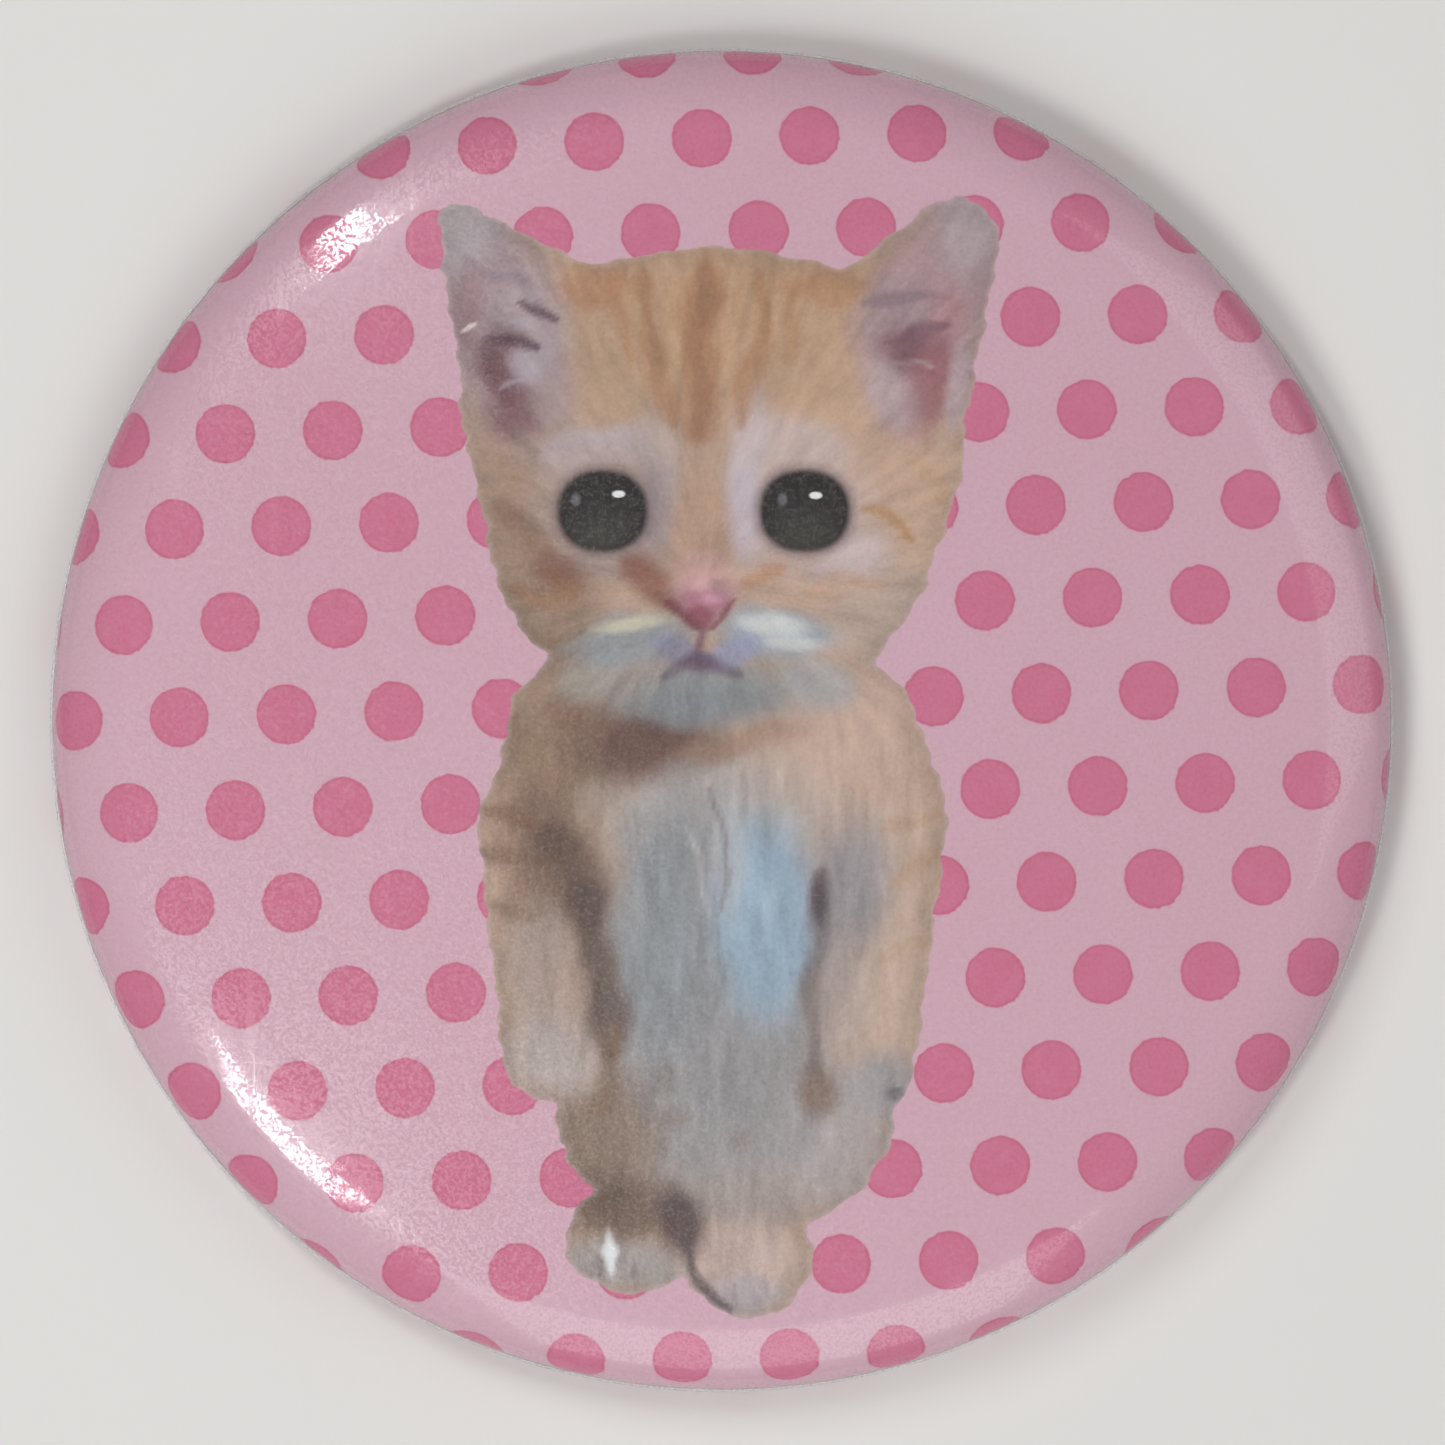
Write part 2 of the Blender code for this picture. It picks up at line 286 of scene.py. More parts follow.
@dataclass(frozen=True)
class DotPattern:
    """Rows of printed dots, turned a little."""

    pitch: float = 4.624 * MM
    row_pitch: float = 4.04 * MM
    turn: float = math.radians(1.6)
    centre: Point = (13.69 * MM, 1.15 * MM)
    radius: float = 1.29 * MM
    softness: float = 0.05 * MM

    def mask(self, graph: Graph, across: Value, up: Value) -> tuple[Value, Value]:
        """Where there is a dot.

        Args:
            graph: The material.
            across: Place on the print to the right.
            up: Place on the print upwards.

        Returns:
            1 in a dot and 0 between them, and 1 along the dots' darker edges.
        """
        x, y = across - self.centre[0], up - self.centre[1]
        along = x * math.cos(self.turn) + y * math.sin(self.turn)
        over = y * math.cos(self.turn) - x * math.sin(self.turn)
        half = (self.pitch / 2, self.row_pitch)
        near = None
        for shift in (0.0, 0.5):
            dx = (along + shift * self.pitch).apply("WRAP", half[0], -half[0])
            dy = (over + 2 * shift * self.row_pitch).apply("WRAP", half[1], -half[1])
            distance = (dx * dx + dy * dy).apply("SQRT")
            near = distance if near is None else near.apply("MINIMUM", distance)
        dot = graph.ramp(near, self.radius + self.softness, self.radius - self.softness)
        rim = dot * graph.ramp(near, self.radius - 4 * self.softness, self.radius - self.softness)
        return dot, rim


@dataclass(frozen=True)
class Eye:
    """A kitten's eye, printed sharp."""

    x: float
    y: float
    glint: Point
    faint: Point
    width: float = 1.92 * MM
    height: float = 1.75 * MM
    squareness: float = 2.25
    glint_size: Point = (0.27 * MM, 0.15 * MM)
    faint_size: Point = (0.22 * MM, 0.3 * MM)
    mottle_scale: float = 2400.0

    def oval(self, across: Value, up: Value, middle: Point, size: Point) -> Value:
        """A squarish oval.

        Args:
            across: Place on the print to the right.
            up: Place on the print upwards.
            middle: The oval's middle.
            size: Half its width and half its height.

        Returns:
            0 in its middle and 1 on its edge.
        """
        dx, dy = ((v - m) / half for v, m, half in zip((across, up), middle, size))
        total = dx.apply("ABSOLUTE")**self.squareness + dy.apply("ABSOLUTE")**self.squareness
        return total**(1 / self.squareness)

    def print_on(self, graph: Graph, colour: Any, across: Value, up: Value) -> Any:
        """Adds the eye to a colour.

        Args:
            graph: The material.
            colour: The colour round the eye.
            across: Place on the print to the right.
            up: Place on the print upwards.

        Returns:
            The colour with the eye.
        """
        size = (self.width, self.height)
        reach = self.oval(across, up, (self.x, self.y), size)
        low = self.oval(across, up, (self.x, self.y - 0.45 * self.height), size)
        mottle = graph.noise(graph.layer(Layer.PLACE.value), self.mottle_scale, 2.0)
        pupil = self.oval(across, up, (self.x, self.y + 0.1 * self.height),
                          (0.5 * self.width, 0.52 * self.height))
        iris = graph.mix(graph.ramp(low, 1.1, 0.1), ink(47, 43, 42), ink(67, 64, 60))
        iris = graph.mix(graph.ramp(reach, 0.80, 1.02) * 0.35, iris, ink(44, 39, 40))
        iris = graph.mix(graph.ramp(pupil, 1.5, 0.5) * 0.3, iris, ink(38, 36, 37))
        iris = graph.mix(graph.ramp(mottle, 0.45, 0.70) * 0.35, iris, ink(84, 82, 78))
        colour = graph.mix(graph.ramp(reach, 1.32, 0.98) * 0.6, colour, ink(112, 96, 97))
        colour = graph.mix(graph.ramp(reach, 1.10, 0.90), colour, iris)
        bright = self.oval(across, up, self.glint, self.glint_size)
        colour = graph.mix(graph.ramp(bright, 1.25, 0.7), colour, ink(236, 236, 238))
        dim = self.oval(across, up, self.faint, self.faint_size)
        return graph.mix(graph.ramp(dim, 1.3, 0.4) * 0.35, colour, ink(150, 152, 155))


@dataclass(frozen=True)
class PrintFinish:
    """The printed paper: dots, kitten and the grain of the print."""

    ground: Colour = ink(202, 165, 178)
    ground_cloud: Colour = ink(199, 160, 172)
    dot: Colour = ink(193, 103, 132)
    dot_cloud: Colour = ink(199, 116, 143)
    dot_rim: Colour = ink(181, 85, 114)
    fur_rim: Colour = ink(204, 184, 186)
    wobble: float = 0.17 * MM
    raggedness: float = 0.16 * MM
    dots: DotPattern = DotPattern()
    eyes: tuple[Eye, ...] = (
        Eye(-5.10 * MM, 8.95 * MM, (-4.42 * MM, 9.68 * MM), (-6.25 * MM, 9.45 * MM)),
        Eye(3.55 * MM, 8.95 * MM, (4.02 * MM, 9.62 * MM), (2.60 * MM, 9.45 * MM)),
    )

    def build(self) -> bpy.types.Material:
        """The material."""
        graph = Graph("printed_paper")
        place = graph.layer(Layer.PLACE.value)
        across, up, _ = graph.split(place)
        ground = graph.mix(graph.noise(place, 60.0, 3.0), self.ground, self.ground_cloud)
        wobble = (graph.noise(place, 2600.0, 2.0) - 0.5) * self.wobble
        dots, rims = self.dots.mask(graph, across + wobble, up - wobble)
        dot = graph.mix(graph.noise(place, 900.0, 3.0), self.dot, self.dot_cloud)
        dot = graph.mix(rims * 0.45, dot, self.dot_rim)
        colour = graph.mix(dots * 0.97, ground, dot)

        hair = self.hair(graph, place, across, up)
        fur = graph.mix(0.32, graph.layer(Layer.INK.value, "Color"), self.grey(graph, hair), "SOFT_LIGHT")
        for eye in self.eyes:
            fur = eye.print_on(graph, fur, across, up)
        edge = Value(graph, graph.layer(Layer.EDGE.value, "Fac"))
        outline = edge + (graph.noise(place, 2200.0, 3.0) - 0.5) * self.raggedness
        fur = graph.mix(graph.ramp(outline, -0.25 * MM, 0.0) * 0.22, fur, self.fur_rim)
        colour = graph.mix(graph.ramp(outline, 0.05 * MM, -0.05 * MM), colour, fur)

        grain = graph.noise(place, 5200.0, 1.0)
        colour = graph.mix(0.24, colour, self.grey(graph, grain), "SOFT_LIGHT")
        return graph.finish(graph.node("ShaderNodeBsdfPrincipled", None, {
            "Base Color": colour, "Roughness": 0.55, "Specular IOR Level": 0.25}))

    @staticmethod
    def hair(graph: Graph, place: Any, across: Value, up: Value) -> Value:
        """Fine hairs: away from the nose on the head and downwards on the body.

        Args:
            graph: The material.
            place: Place on the print.
            across: The part of it to the right.
            up: The part of it upwards.

        Returns:
            Noise in strands, about 0.5.
        """
        dx, dy = across + 0.8 * MM, up - 6.0 * MM
        spread = dy.apply("ARCTAN2", dx) * 30.0
        reach = (dx * dx + dy * dy).apply("SQRT") * 1300.0
        fan = graph.node("ShaderNodeCombineXYZ", None, {0: spread, 1: reach}).outputs[0]
        head = graph.noise(fan, 1.0, 3.0, 0.65)
        body = graph.noise(graph.stretched(place, (4300.0, 1200.0, 1.0), 0.06), 1.0, 3.0, 0.65)
        share = graph.ramp(up, -1.5 * MM, 2.0 * MM)
        return head * share + body * (1 - share)

    @staticmethod
    def grey(graph: Graph, value: Value) -> bpy.types.NodeSocket:
        """A value as a grey colour."""
        return graph.node("ShaderNodeCombineColor", None, {0: value, 1: value, 2: value}).outputs[0]


@dataclass(frozen=True)
class FilmFinish:
    """Clear glossy film with hair scratches and a slight unevenness."""

    index: float = 1.62
    tint: Colour = (0.985, 0.985, 0.99)
    scratches: tuple[Point, ...] = ((0.5, 1500.0), (1.9, 1900.0), (2.7, 1300.0))
    polish: float = 0.035
    haze: float = 0.38
    unevenness: float = 0.012 * MM

    def build(self) -> bpy.types.Material:
        """The material."""
        graph = Graph("clear_film")
        place = graph.place()
        scratches = graph.scratches(place, self.scratches, 60.0, 0.70)
        patches = graph.noise(place, 110.0, 3.0)
        haze = graph.ramp(graph.noise(place, 7000.0, 1.0), 0.42, 0.70)
        roughness = patches * 0.05 + haze * self.haze + scratches * 0.12 + self.polish
        uneven = graph.noise(place, 420.0, 2.0) + graph.noise(place, 1600.0, 2.0) * 0.25 - scratches * 0.05
        normal = graph.bump(uneven, self.unevenness)
        glossy = graph.node("ShaderNodeBsdfGlossy", None, {"Roughness": roughness, "Normal": normal})
        clear = graph.node("ShaderNodeBsdfTransparent", None, {"Color": self.tint})
        mirror = graph.node("ShaderNodeFresnel", None, {"IOR": self.index, "Normal": normal}).outputs[0]
        front = 1 - Value(graph, graph.node("ShaderNodeNewGeometry").outputs["Backfacing"])
        return graph.finish(graph.node("ShaderNodeMixShader", None, {
            0: Value(graph, mirror) * front, 1: clear.outputs[0], 2: glossy.outputs[0]}))


@dataclass(frozen=True)
class MetalFinish:
    """Plated metal with rolling or drawing lines, small scratches and dull patches."""

    name: str
    colour: Colour
    stained: Colour
    roughness: float
    line_scale: tuple[float, float, float]
    line_depth: float = 0.004 * MM
    stain_share: float = 0.5
    scratches: tuple[Point, ...] = ((0.35, 2100.0), (1.25, 2100.0), (2.4, 2100.0))

    def build(self) -> bpy.types.Material:
        """The material."""
        graph = Graph(self.name)
        place = graph.place()
        lines = graph.noise(graph.stretched(place, self.line_scale), 1.0, 4.0, 0.65)
        patches = graph.noise(place, 130.0, 4.0, 0.6)
        specks = graph.ramp(graph.noise(place, 1400.0, 2.0), 0.66, 0.74)
        scratches = graph.scratches(place, self.scratches, 90.0, 0.71)
        stain = graph.ramp(patches, 0.42, 0.75)
        colour = graph.mix(stain * self.stain_share, self.colour, self.stained)
        colour = graph.mix(specks * 0.25, colour, tuple(0.6 * c for c in self.stained))
        roughness = lines * 0.10 + stain * 0.12 + scratches * 0.10 + (self.roughness - 0.08)
        normal = graph.bump(lines - scratches * 0.6, self.line_depth)
        return graph.finish(graph.node("ShaderNodeBsdfPrincipled", None, {
            "Base Color": colour, "Metallic": 1.0, "Roughness": roughness, "Normal": normal}))


@dataclass(frozen=True)
class FloorFinish:
    """Plain pale studio floor."""

    colour: Colour = (0.80, 0.79, 0.77)
    roughness: float = 0.8

    def build(self) -> bpy.types.Material:
        """The material."""
        graph = Graph("pale_floor")
        tone = graph.noise(graph.place(), 9.0, 3.0)
        colour = graph.mix(tone, self.colour, tuple(c * 0.97 for c in self.colour))
        return graph.finish(graph.node("ShaderNodeBsdfPrincipled", None, {
            "Base Color": colour, "Roughness": self.roughness}))


# Sections of the pressed sheets


@dataclass
class Section:
    """A sheet's section as a path of points with headings: 0 runs outwards, a quarter turn runs down."""

    out: list[float]
    up: list[float]
    heading: list[float]

    @classmethod
    def starting(cls, out: float, up: float, heading: float = 0.0) -> "Section":
        """A path of one point."""
        return cls([out], [up], [heading])

    def line(self, length: float, steps: int = 1) -> "Section":
        """Adds a straight stretch.

        Args:
            length: Its length.
            steps: Number of equal steps.

        Returns:
            This section.
        """
        for _ in range(steps):
            h = self.heading[-1]
            self.out.append(self.out[-1] + length / steps * math.cos(h))
            self.up.append(self.up[-1] - length / steps * math.sin(h))
            self.heading.append(h)
        return self

    def bend(self, radius: float, heading: float, steps: int) -> "Section":
        """Adds a round bend.

        Args:
            radius: Its radius.
            heading: Heading at its end.
            steps: Number of equal steps.

        Returns:
            This section.
        """
        start, out, up = self.heading[-1], self.out[-1], self.up[-1]
        signed = math.copysign(radius, heading - start)
        for i in range(1, steps + 1):
            h = start + (heading - start) * i / steps
            self.out.append(out + signed * (math.sin(h) - math.sin(start)))
            self.up.append(up + signed * (math.cos(h) - math.cos(start)))
            self.heading.append(h)
        return self

    def inset(self, depth: float) -> tuple[Array, Array]:
        """Points of the path moved to its inner side."""
        h = np.array(self.heading)
        return np.array(self.out) - depth * np.sin(h), np.array(self.up) - depth * np.cos(h)

    def outline(self, near: float, far: float) -> list[Point]:
        """Closed outline of a sheet between two depths."""
        a, b = self.inset(near), self.inset(far)
        return list(zip(*a)) + list(zip(*b))[::-1]


@dataclass(frozen=True)
class Gauges:
    """Thicknesses, gaps and sizes that the pieces share."""

    radius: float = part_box(Node.FILM.value)[1][0]
    crown: float = 200.0 * MM
    shoulder: float = 6.0 * MM
    shoulder_slope: float = math.radians(35.0)
    roll: float = 1.9 * MM
    side: float = 0.5 * MM
    curl: float = 1.3 * MM
    lip: float = 1.1 * MM
    tuck: float = 0.9 * MM
    film: float = 0.10 * MM
    paper: float = 0.15 * MM
    shell: float = 0.20 * MM
    plate: float = 0.24 * MM
    gap: float = 0.05 * MM
    wire: float = 0.45 * MM  # radius
    well_depth: float = 2.25 * MM
    leg_room: float = 0.05 * MM
    needle_room: float = 1.05 * MM
    spring: float = 3.0 * MM
    leg_end: float = 8.0 * MM
    foot_bend: float = 0.9 * MM

    @property
    def paper_depth(self) -> float:
        """Depth of the paper's printed side under the film's outer side."""
        return self.film + self.gap

    @property
    def shell_depth(self) -> float:
        """Depth of the shell's outer side."""
        return self.paper_depth + self.paper + self.gap

    @property
    def hem(self) -> float:
        """Radius of the film's turn round the lip's edge."""
        return self.shell_depth + self.shell / 2

    @property
    def flange_height(self) -> float:
        """Height of the back plate's flange."""
        return 2 * self.hem + self.gap

    @property
    def floor_height(self) -> float:
        """Height of the back of the plate's floor."""
        return self.flange_height + self.well_depth

    @property
    def leg_height(self) -> float:
        """Height of the middle of the wire's leg."""
        return self.floor_height - self.leg_room - self.wire

    @property
    def needle_height(self) -> float:
        """Height of the middle of the needle."""
        return self.floor_height - self.needle_room - self.wire

    def face(self) -> tuple[Section, int]:
        """The film's outer section.

        Returns:
            The section, and the number of its point where the face meets the rim's roll.
        """
        steep = math.sin(self.shoulder_slope)
        reach = self.radius - self.shoulder * steep - self.roll * (1 - steep)
        slope = math.asin(reach / (self.crown - self.shoulder))
        path = Section.starting(0.0, 0.0).bend(self.crown, slope, 14)
        path.bend(self.shoulder, self.shoulder_slope, 9)
        breaks = len(path.out) - 1
        path.bend(self.roll, QUARTER_TURN, 9).line(self.side, 2).bend(self.curl, HALF_TURN, 9)
        path.line(self.lip, 5)
        lift = -path.up[-1]
        path.up = [u + lift for u in path.up]
        return path.bend(self.hem, WHOLE_TURN, 8).line(self.tuck, 2), breaks


# The drawn kitten


@dataclass(frozen=True)
class Oval:
    """A soft oval of ink, or an oval part of the outline. Sizes and places are in millimetres."""

    x: float
    y: float
    width: float
    height: float
    colour: Optional[Colour] = None
    strength: float = 1.0
    turn: float = 0.0
    softness: float = 0.45

    def reach(self, x: Array, y: Array) -> tuple[Array, Array, Array]:
        """Places as the oval sees them.

        Args:
            x: Places to the right, in millimetres.
            y: Places upwards.

        Returns:
            Places along its two axes, and how far out they lie: 1 is on its edge.
        """
        c, s = math.cos(math.radians(self.turn)), math.sin(math.radians(self.turn))
        a, b = (x - self.x) * c + (y - self.y) * s, (y - self.y) * c - (x - self.x) * s
        return a, b, np.hypot(a / self.width, b / self.height)

    def distance(self, x: Array, y: Array) -> Array:
        """Distance to the oval's edge, below 0 inside."""
        a, b, near = self.reach(x, y)
        steep = np.hypot(a / self.width**2, b / self.height**2)
        return near * (near - 1) / np.maximum(steep, 1e-9)

    def cover(self, x: Array, y: Array) -> Array:
        """How much ink lies at each point."""
        near = self.reach(x, y)[2]
        return self.strength * smooth((1 + self.softness - near) / (2 * self.softness))


@dataclass(frozen=True)
class Limb:
    """A limb of the outline: a straight stretch with round ends."""

    start: Point
    end: Point
    width: Point

    def distance(self, x: Array, y: Array) -> Array:
        """Distance to the limb's edge.

        Args:
            x: Places to the right, in millimetres.
            y: Places upwards.

        Returns:
            Distances, below 0 inside.
        """
        dx, dy = self.end[0] - self.start[0], self.end[1] - self.start[1]
        along = ((x - self.start[0]) * dx + (y - self.start[1]) * dy) / (dx * dx + dy * dy)
        along = np.clip(along, 0, 1)
        away = np.hypot(x - self.start[0] - along * dx, y - self.start[1] - along * dy)
        return away - self.width[0] - along * (self.width[1] - self.width[0])


@dataclass(frozen=True)
class Ear:
    """A pointed part of the outline with a rounded tip. Its corners run clockwise."""

    corners: tuple[Point, ...]
    rounding: float = 1.9

    def distance(self, x: Array, y: Array) -> Array:
        """Distance to the ear's edge.

        Args:
            x: Places to the right, in millimetres.
            y: Places upwards.

        Returns:
            Distances, below 0 inside.
        """
        reach = np.full_like(x, -1e9)
        count = len(self.corners)
        for i, (ax, ay) in enumerate(self.corners):
            bx, by = self.corners[(i + 1) % count]
            length = math.hypot(bx - ax, by - ay)
            side = ((y - ay) * (bx - ax) - (x - ax) * (by - ay)) / length
            reach = smooth_max(reach, side, self.rounding)
        return reach


@dataclass(frozen=True)
class Stroke:
    """A soft line of ink through points, in millimetres."""

    points: tuple[Point, ...]
    width: float
    colour: Colour
    strength: float = 1.0
    taper: float = 0.5

    def cover(self, x: Array, y: Array) -> Array:
        """Ink along the line.

        Args:
            x: Places to the right, in millimetres.
            y: Places upwards.

        Returns:
            How much ink lies at each place.
        """
        route = curve_through(self.points, 10)
        best = np.zeros_like(x)
        for i, ((ax, ay), (bx, by)) in enumerate(zip(route, route[1:])):
            share = (i + 0.5) / (len(route) - 1)
            width = self.width * (1 - self.taper * abs(2 * share - 1) ** 2)
            limb = Limb((ax, ay), (bx, by), (0.0, 0.0))
            best = np.maximum(best, smooth(1.25 - limb.distance(x, y) / width))
        return self.strength * best


Mark = Union[Oval, Stroke]


def smooth(share: Array) -> Array:
    """A smooth step from 0 to 1."""
    share = np.clip(share, 0, 1)
    return share * share * (3 - 2 * share)


def smooth_min(a: Array, b: Array, blend: float) -> Array:
    """The lower of two distances, with the corner between them filled."""
    h = np.maximum(blend - np.abs(a - b), 0) / blend
    return np.minimum(a, b) - h * h * blend / 4


def smooth_max(a: Array, b: Array, blend: float) -> Array:
    """The higher of two distances, with the corner rounded."""
    return -smooth_min(-a, -b, blend)


def curve_through(points: Sequence[tuple[float, ...]], steps: int) -> Array:
    """A smooth curve through points.

    Args:
        points: Points of two or three numbers.
        steps: Points added in each stretch.

    Returns:
        The curve's points.
    """
    p = np.array(points, float)
    p = np.vstack([2 * p[0] - p[1], p, 2 * p[-1] - p[-2]])
    made = [p[1]]
    for a, b, c, d in zip(p, p[1:], p[2:], p[3:]):
        for i in range(1, steps + 1):
            t = i / steps
            made.append(0.5 * (2 * b + (c - a) * t + (2 * a - 5 * b + 4 * c - d) * t**2
                               + (3 * b - a - 3 * c + d) * t**3))
    return np.array(made)


# Marks of the coat in the order they are laid on, in millimetres and 0 to 255 colours. An oval's row is
# (x, y, width, height, red, green, blue, strength, turn, softness), and a stroke's row is
# ((x, y, x, y, ...), width, red, green, blue, strength, taper).
# Ears: grey pink with a darker hollow and pale tufts.
EAR_MARKS: tuple[Row, ...] = (
    (-9.7, 17.4, 2.5, 5.4, 156, 136, 141, 0.95, 18), (-11, 21, 1.3, 1.9, 168, 160, 162, 0.7),
    (-8.3, 16.6, 1.6, 2.6, 166, 150, 153, 0.8, 10), (-10.9, 17.9, 0.6, 1.8, 148, 118, 120, 0.7, -6),
    (-9.5, 15.6, 1.1, 1.2, 108, 77, 80, 0.85, -14, 0.6),
    (-8.8, 13.4, 1.2, 1.3, 120, 88, 92, 0.85, -30, 0.6),
    ((-10, 15.3, -9.5, 14.4, -8.9, 13.5), 0.55, 112, 80, 84, 0.8),
    (-8.4, 15.2, 0.7, 0.9, 172, 160, 166, 0.75, 30), (-7.3, 13.6, 0.8, 1.2, 170, 152, 148, 0.6, 30),
    ((-10.3, 16.5, -9.2, 16.4, -8, 16.1), 0.34, 98, 73, 83, 0.9),
    ((-8.6, 17.9, -7.8, 17.4, -7, 17.1), 0.3, 100, 76, 86, 0.9),
    ((-9.3, 17.2, -8.5, 17, -7.9, 16.7), 0.16, 176, 166, 172, 0.7),
    ((-10.8, 19.6, -9.6, 18.9, -8.4, 18.9), 0.28, 136, 118, 128, 0.6),
    ((-9.4, 14.2, -8.8, 14.6, -8.1, 14.5), 0.16, 168, 150, 158, 0.7),
    ((-11.05, 16.6, -10.7, 17), 0.1, 226, 212, 204, 0.9, 0.2),
    (9.3, 17.8, 2.6, 5.2, 162, 136, 140, 0.95, -18), (10.6, 21.2, 1.3, 2, 172, 160, 164, 0.65),
    (7.3, 16.9, 1.7, 1.9, 160, 138, 142, 0.75), ((6, 17.9, 7.6, 18.1, 9.8, 18), 0.34, 134, 112, 120, 0.7),
    ((6.2, 16.9, 7.6, 17, 9, 17.2), 0.2, 172, 152, 158, 0.6),
    (9.6, 17.2, 0.8, 1.2, 166, 124, 126, 0.7, -10, 0.6), (8.3, 15.8, 1.5, 1.1, 126, 90, 97, 0.9, -20, 0.6),
    (8.9, 14.3, 0.9, 1.9, 144, 98, 101, 0.9, -10, 0.6), (7.7, 13.6, 0.8, 1.3, 162, 134, 138, 0.8, 8, 0.6),
    ((7, 16.2, 8.4, 16.7, 9.9, 16.9), 0.3, 120, 88, 100, 0.75),
    ((7.3, 15.3, 8.2, 15.5, 9, 15.2), 0.14, 172, 150, 156, 0.6), (7, 14, 0.8, 1.5, 178, 160, 160, 0.7, 20),
    (10.1, 14.2, 0.45, 1.9, 180, 160, 164, 0.75, -8),
)
# Head: ginger with soft dark stripes, pale brows and a darker left cheek.
HEAD_MARKS: tuple[Row, ...] = (
    (0, 17, 8, 3.6, 178, 144, 114, 0.9, 0, 0.6), (4.4, 14, 3.8, 3.8, 184, 153, 128, 0.8, 0, 0.6),
    (-5.4, 14.6, 3.2, 3.4, 175, 147, 123, 0.75, 0, 0.6), (-5.4, 18.6, 1.8, 0.9, 168, 120, 88, 0.6),
    (4.4, 18.6, 1.8, 0.8, 172, 126, 94, 0.55), (7.6, 9.6, 3, 4.6, 190, 160, 138, 0.85, 0, 0.6),
    (-8.6, 9.6, 2.2, 3.6, 152, 128, 110, 0.8, 0, 0.6), (-7.4, 4.6, 2.4, 2.8, 140, 119, 103, 0.85, 0, 0.6),
    (6.7, 4.6, 2.4, 2.6, 172, 153, 141, 0.85, 0, 0.6), (-5.3, 11.6, 2.3, 1, 179, 168, 173, 0.85, 12),
    (3.2, 11.8, 2.3, 1.1, 188, 170, 165, 0.8, -10), (-5.1, 9.2, 3, 2.8, 170, 150, 142, 0.75, 0, 0.35),
    (3.6, 9, 3, 2.7, 186, 166, 160, 0.75, 0, 0.4), (-2.6, 11.2, 0.9, 1.9, 178, 162, 156, 0.7, 8, 0.6),
    (-2.7, 9, 0.9, 2, 146, 135, 139, 0.65, -4, 0.6), (1.2, 11.6, 0.8, 2.2, 196, 181, 181, 0.8, -6, 0.6),
    (0.9, 9, 0.8, 2, 188, 178, 188, 0.75, 4, 0.6), (-0.9, 8, 1.25, 3, 172, 141, 121, 0.85),
    (-0.8, 6.4, 1.1, 0.9, 189, 151, 147, 0.75), (5.6, 6.9, 1.6, 1, 195, 179, 179, 0.65, 20),
    (-5.2, 6.5, 2, 0.5, 150, 132, 130, 0.5, -8),
    ((-0.7, 19.3, -0.9, 16.8, -1, 14.4, -0.9, 12.2), 1.05, 154, 110, 82, 0.75, 0.35),
    ((-3.2, 19, -3.2, 16.8, -2.9, 15, -2.2, 13.4, -2, 12.6), 0.62, 154, 110, 80, 0.6),
    ((1.8, 18.9, 1.7, 16.9, 1.5, 15.3, 0.9, 13.9, 0.6, 12.8), 0.58, 158, 115, 84, 0.6),
    ((-4.6, 18.8, -4.4, 17, -3.8, 15.4), 0.4, 166, 122, 88, 0.5),
    ((3.2, 18.9, 3.1, 17.2, 2.5, 15.6), 0.4, 168, 127, 94, 0.5),
    ((-2.1, 19, -2.1, 16.6, -2, 14.6), 0.35, 192, 158, 126, 0.45),
    ((0.4, 19.2, 0.4, 16.8, 0.2, 14.6), 0.35, 190, 156, 126, 0.45),
    (-7, 6.3, 1.2, 0.75, 130, 92, 76, 0.8, -28, 0.6),
    ((-9.4, 9.2, -8.3, 8, -7.2, 7.2), 0.7, 130, 102, 85, 0.65),
    ((-8.9, 5.6, -7.6, 5.2, -6.3, 5.4), 0.6, 148, 112, 85, 0.6),
    ((-8, 3.2, -7, 3.4, -6, 4), 0.4, 132, 107, 88, 0.5),
    ((-4.2, 6.9, -3.3, 6.2, -2.3, 5.1), 1, 128, 86, 72, 0.85),
    ((2.4, 6.6, 1.7, 6.2, 1, 5.6), 0.55, 178, 132, 104, 0.6),
    ((5.9, 9.2, 7.2, 8.7, 8.2, 7.6), 0.34, 170, 130, 92, 0.7),
    ((3.6, 5.4, 5.2, 5.9, 7, 5.6), 0.45, 187, 150, 121, 0.5),
    ((7.6, 11.6, 8.8, 10.6, 9.4, 9.2), 0.4, 178, 143, 110, 0.35),
)
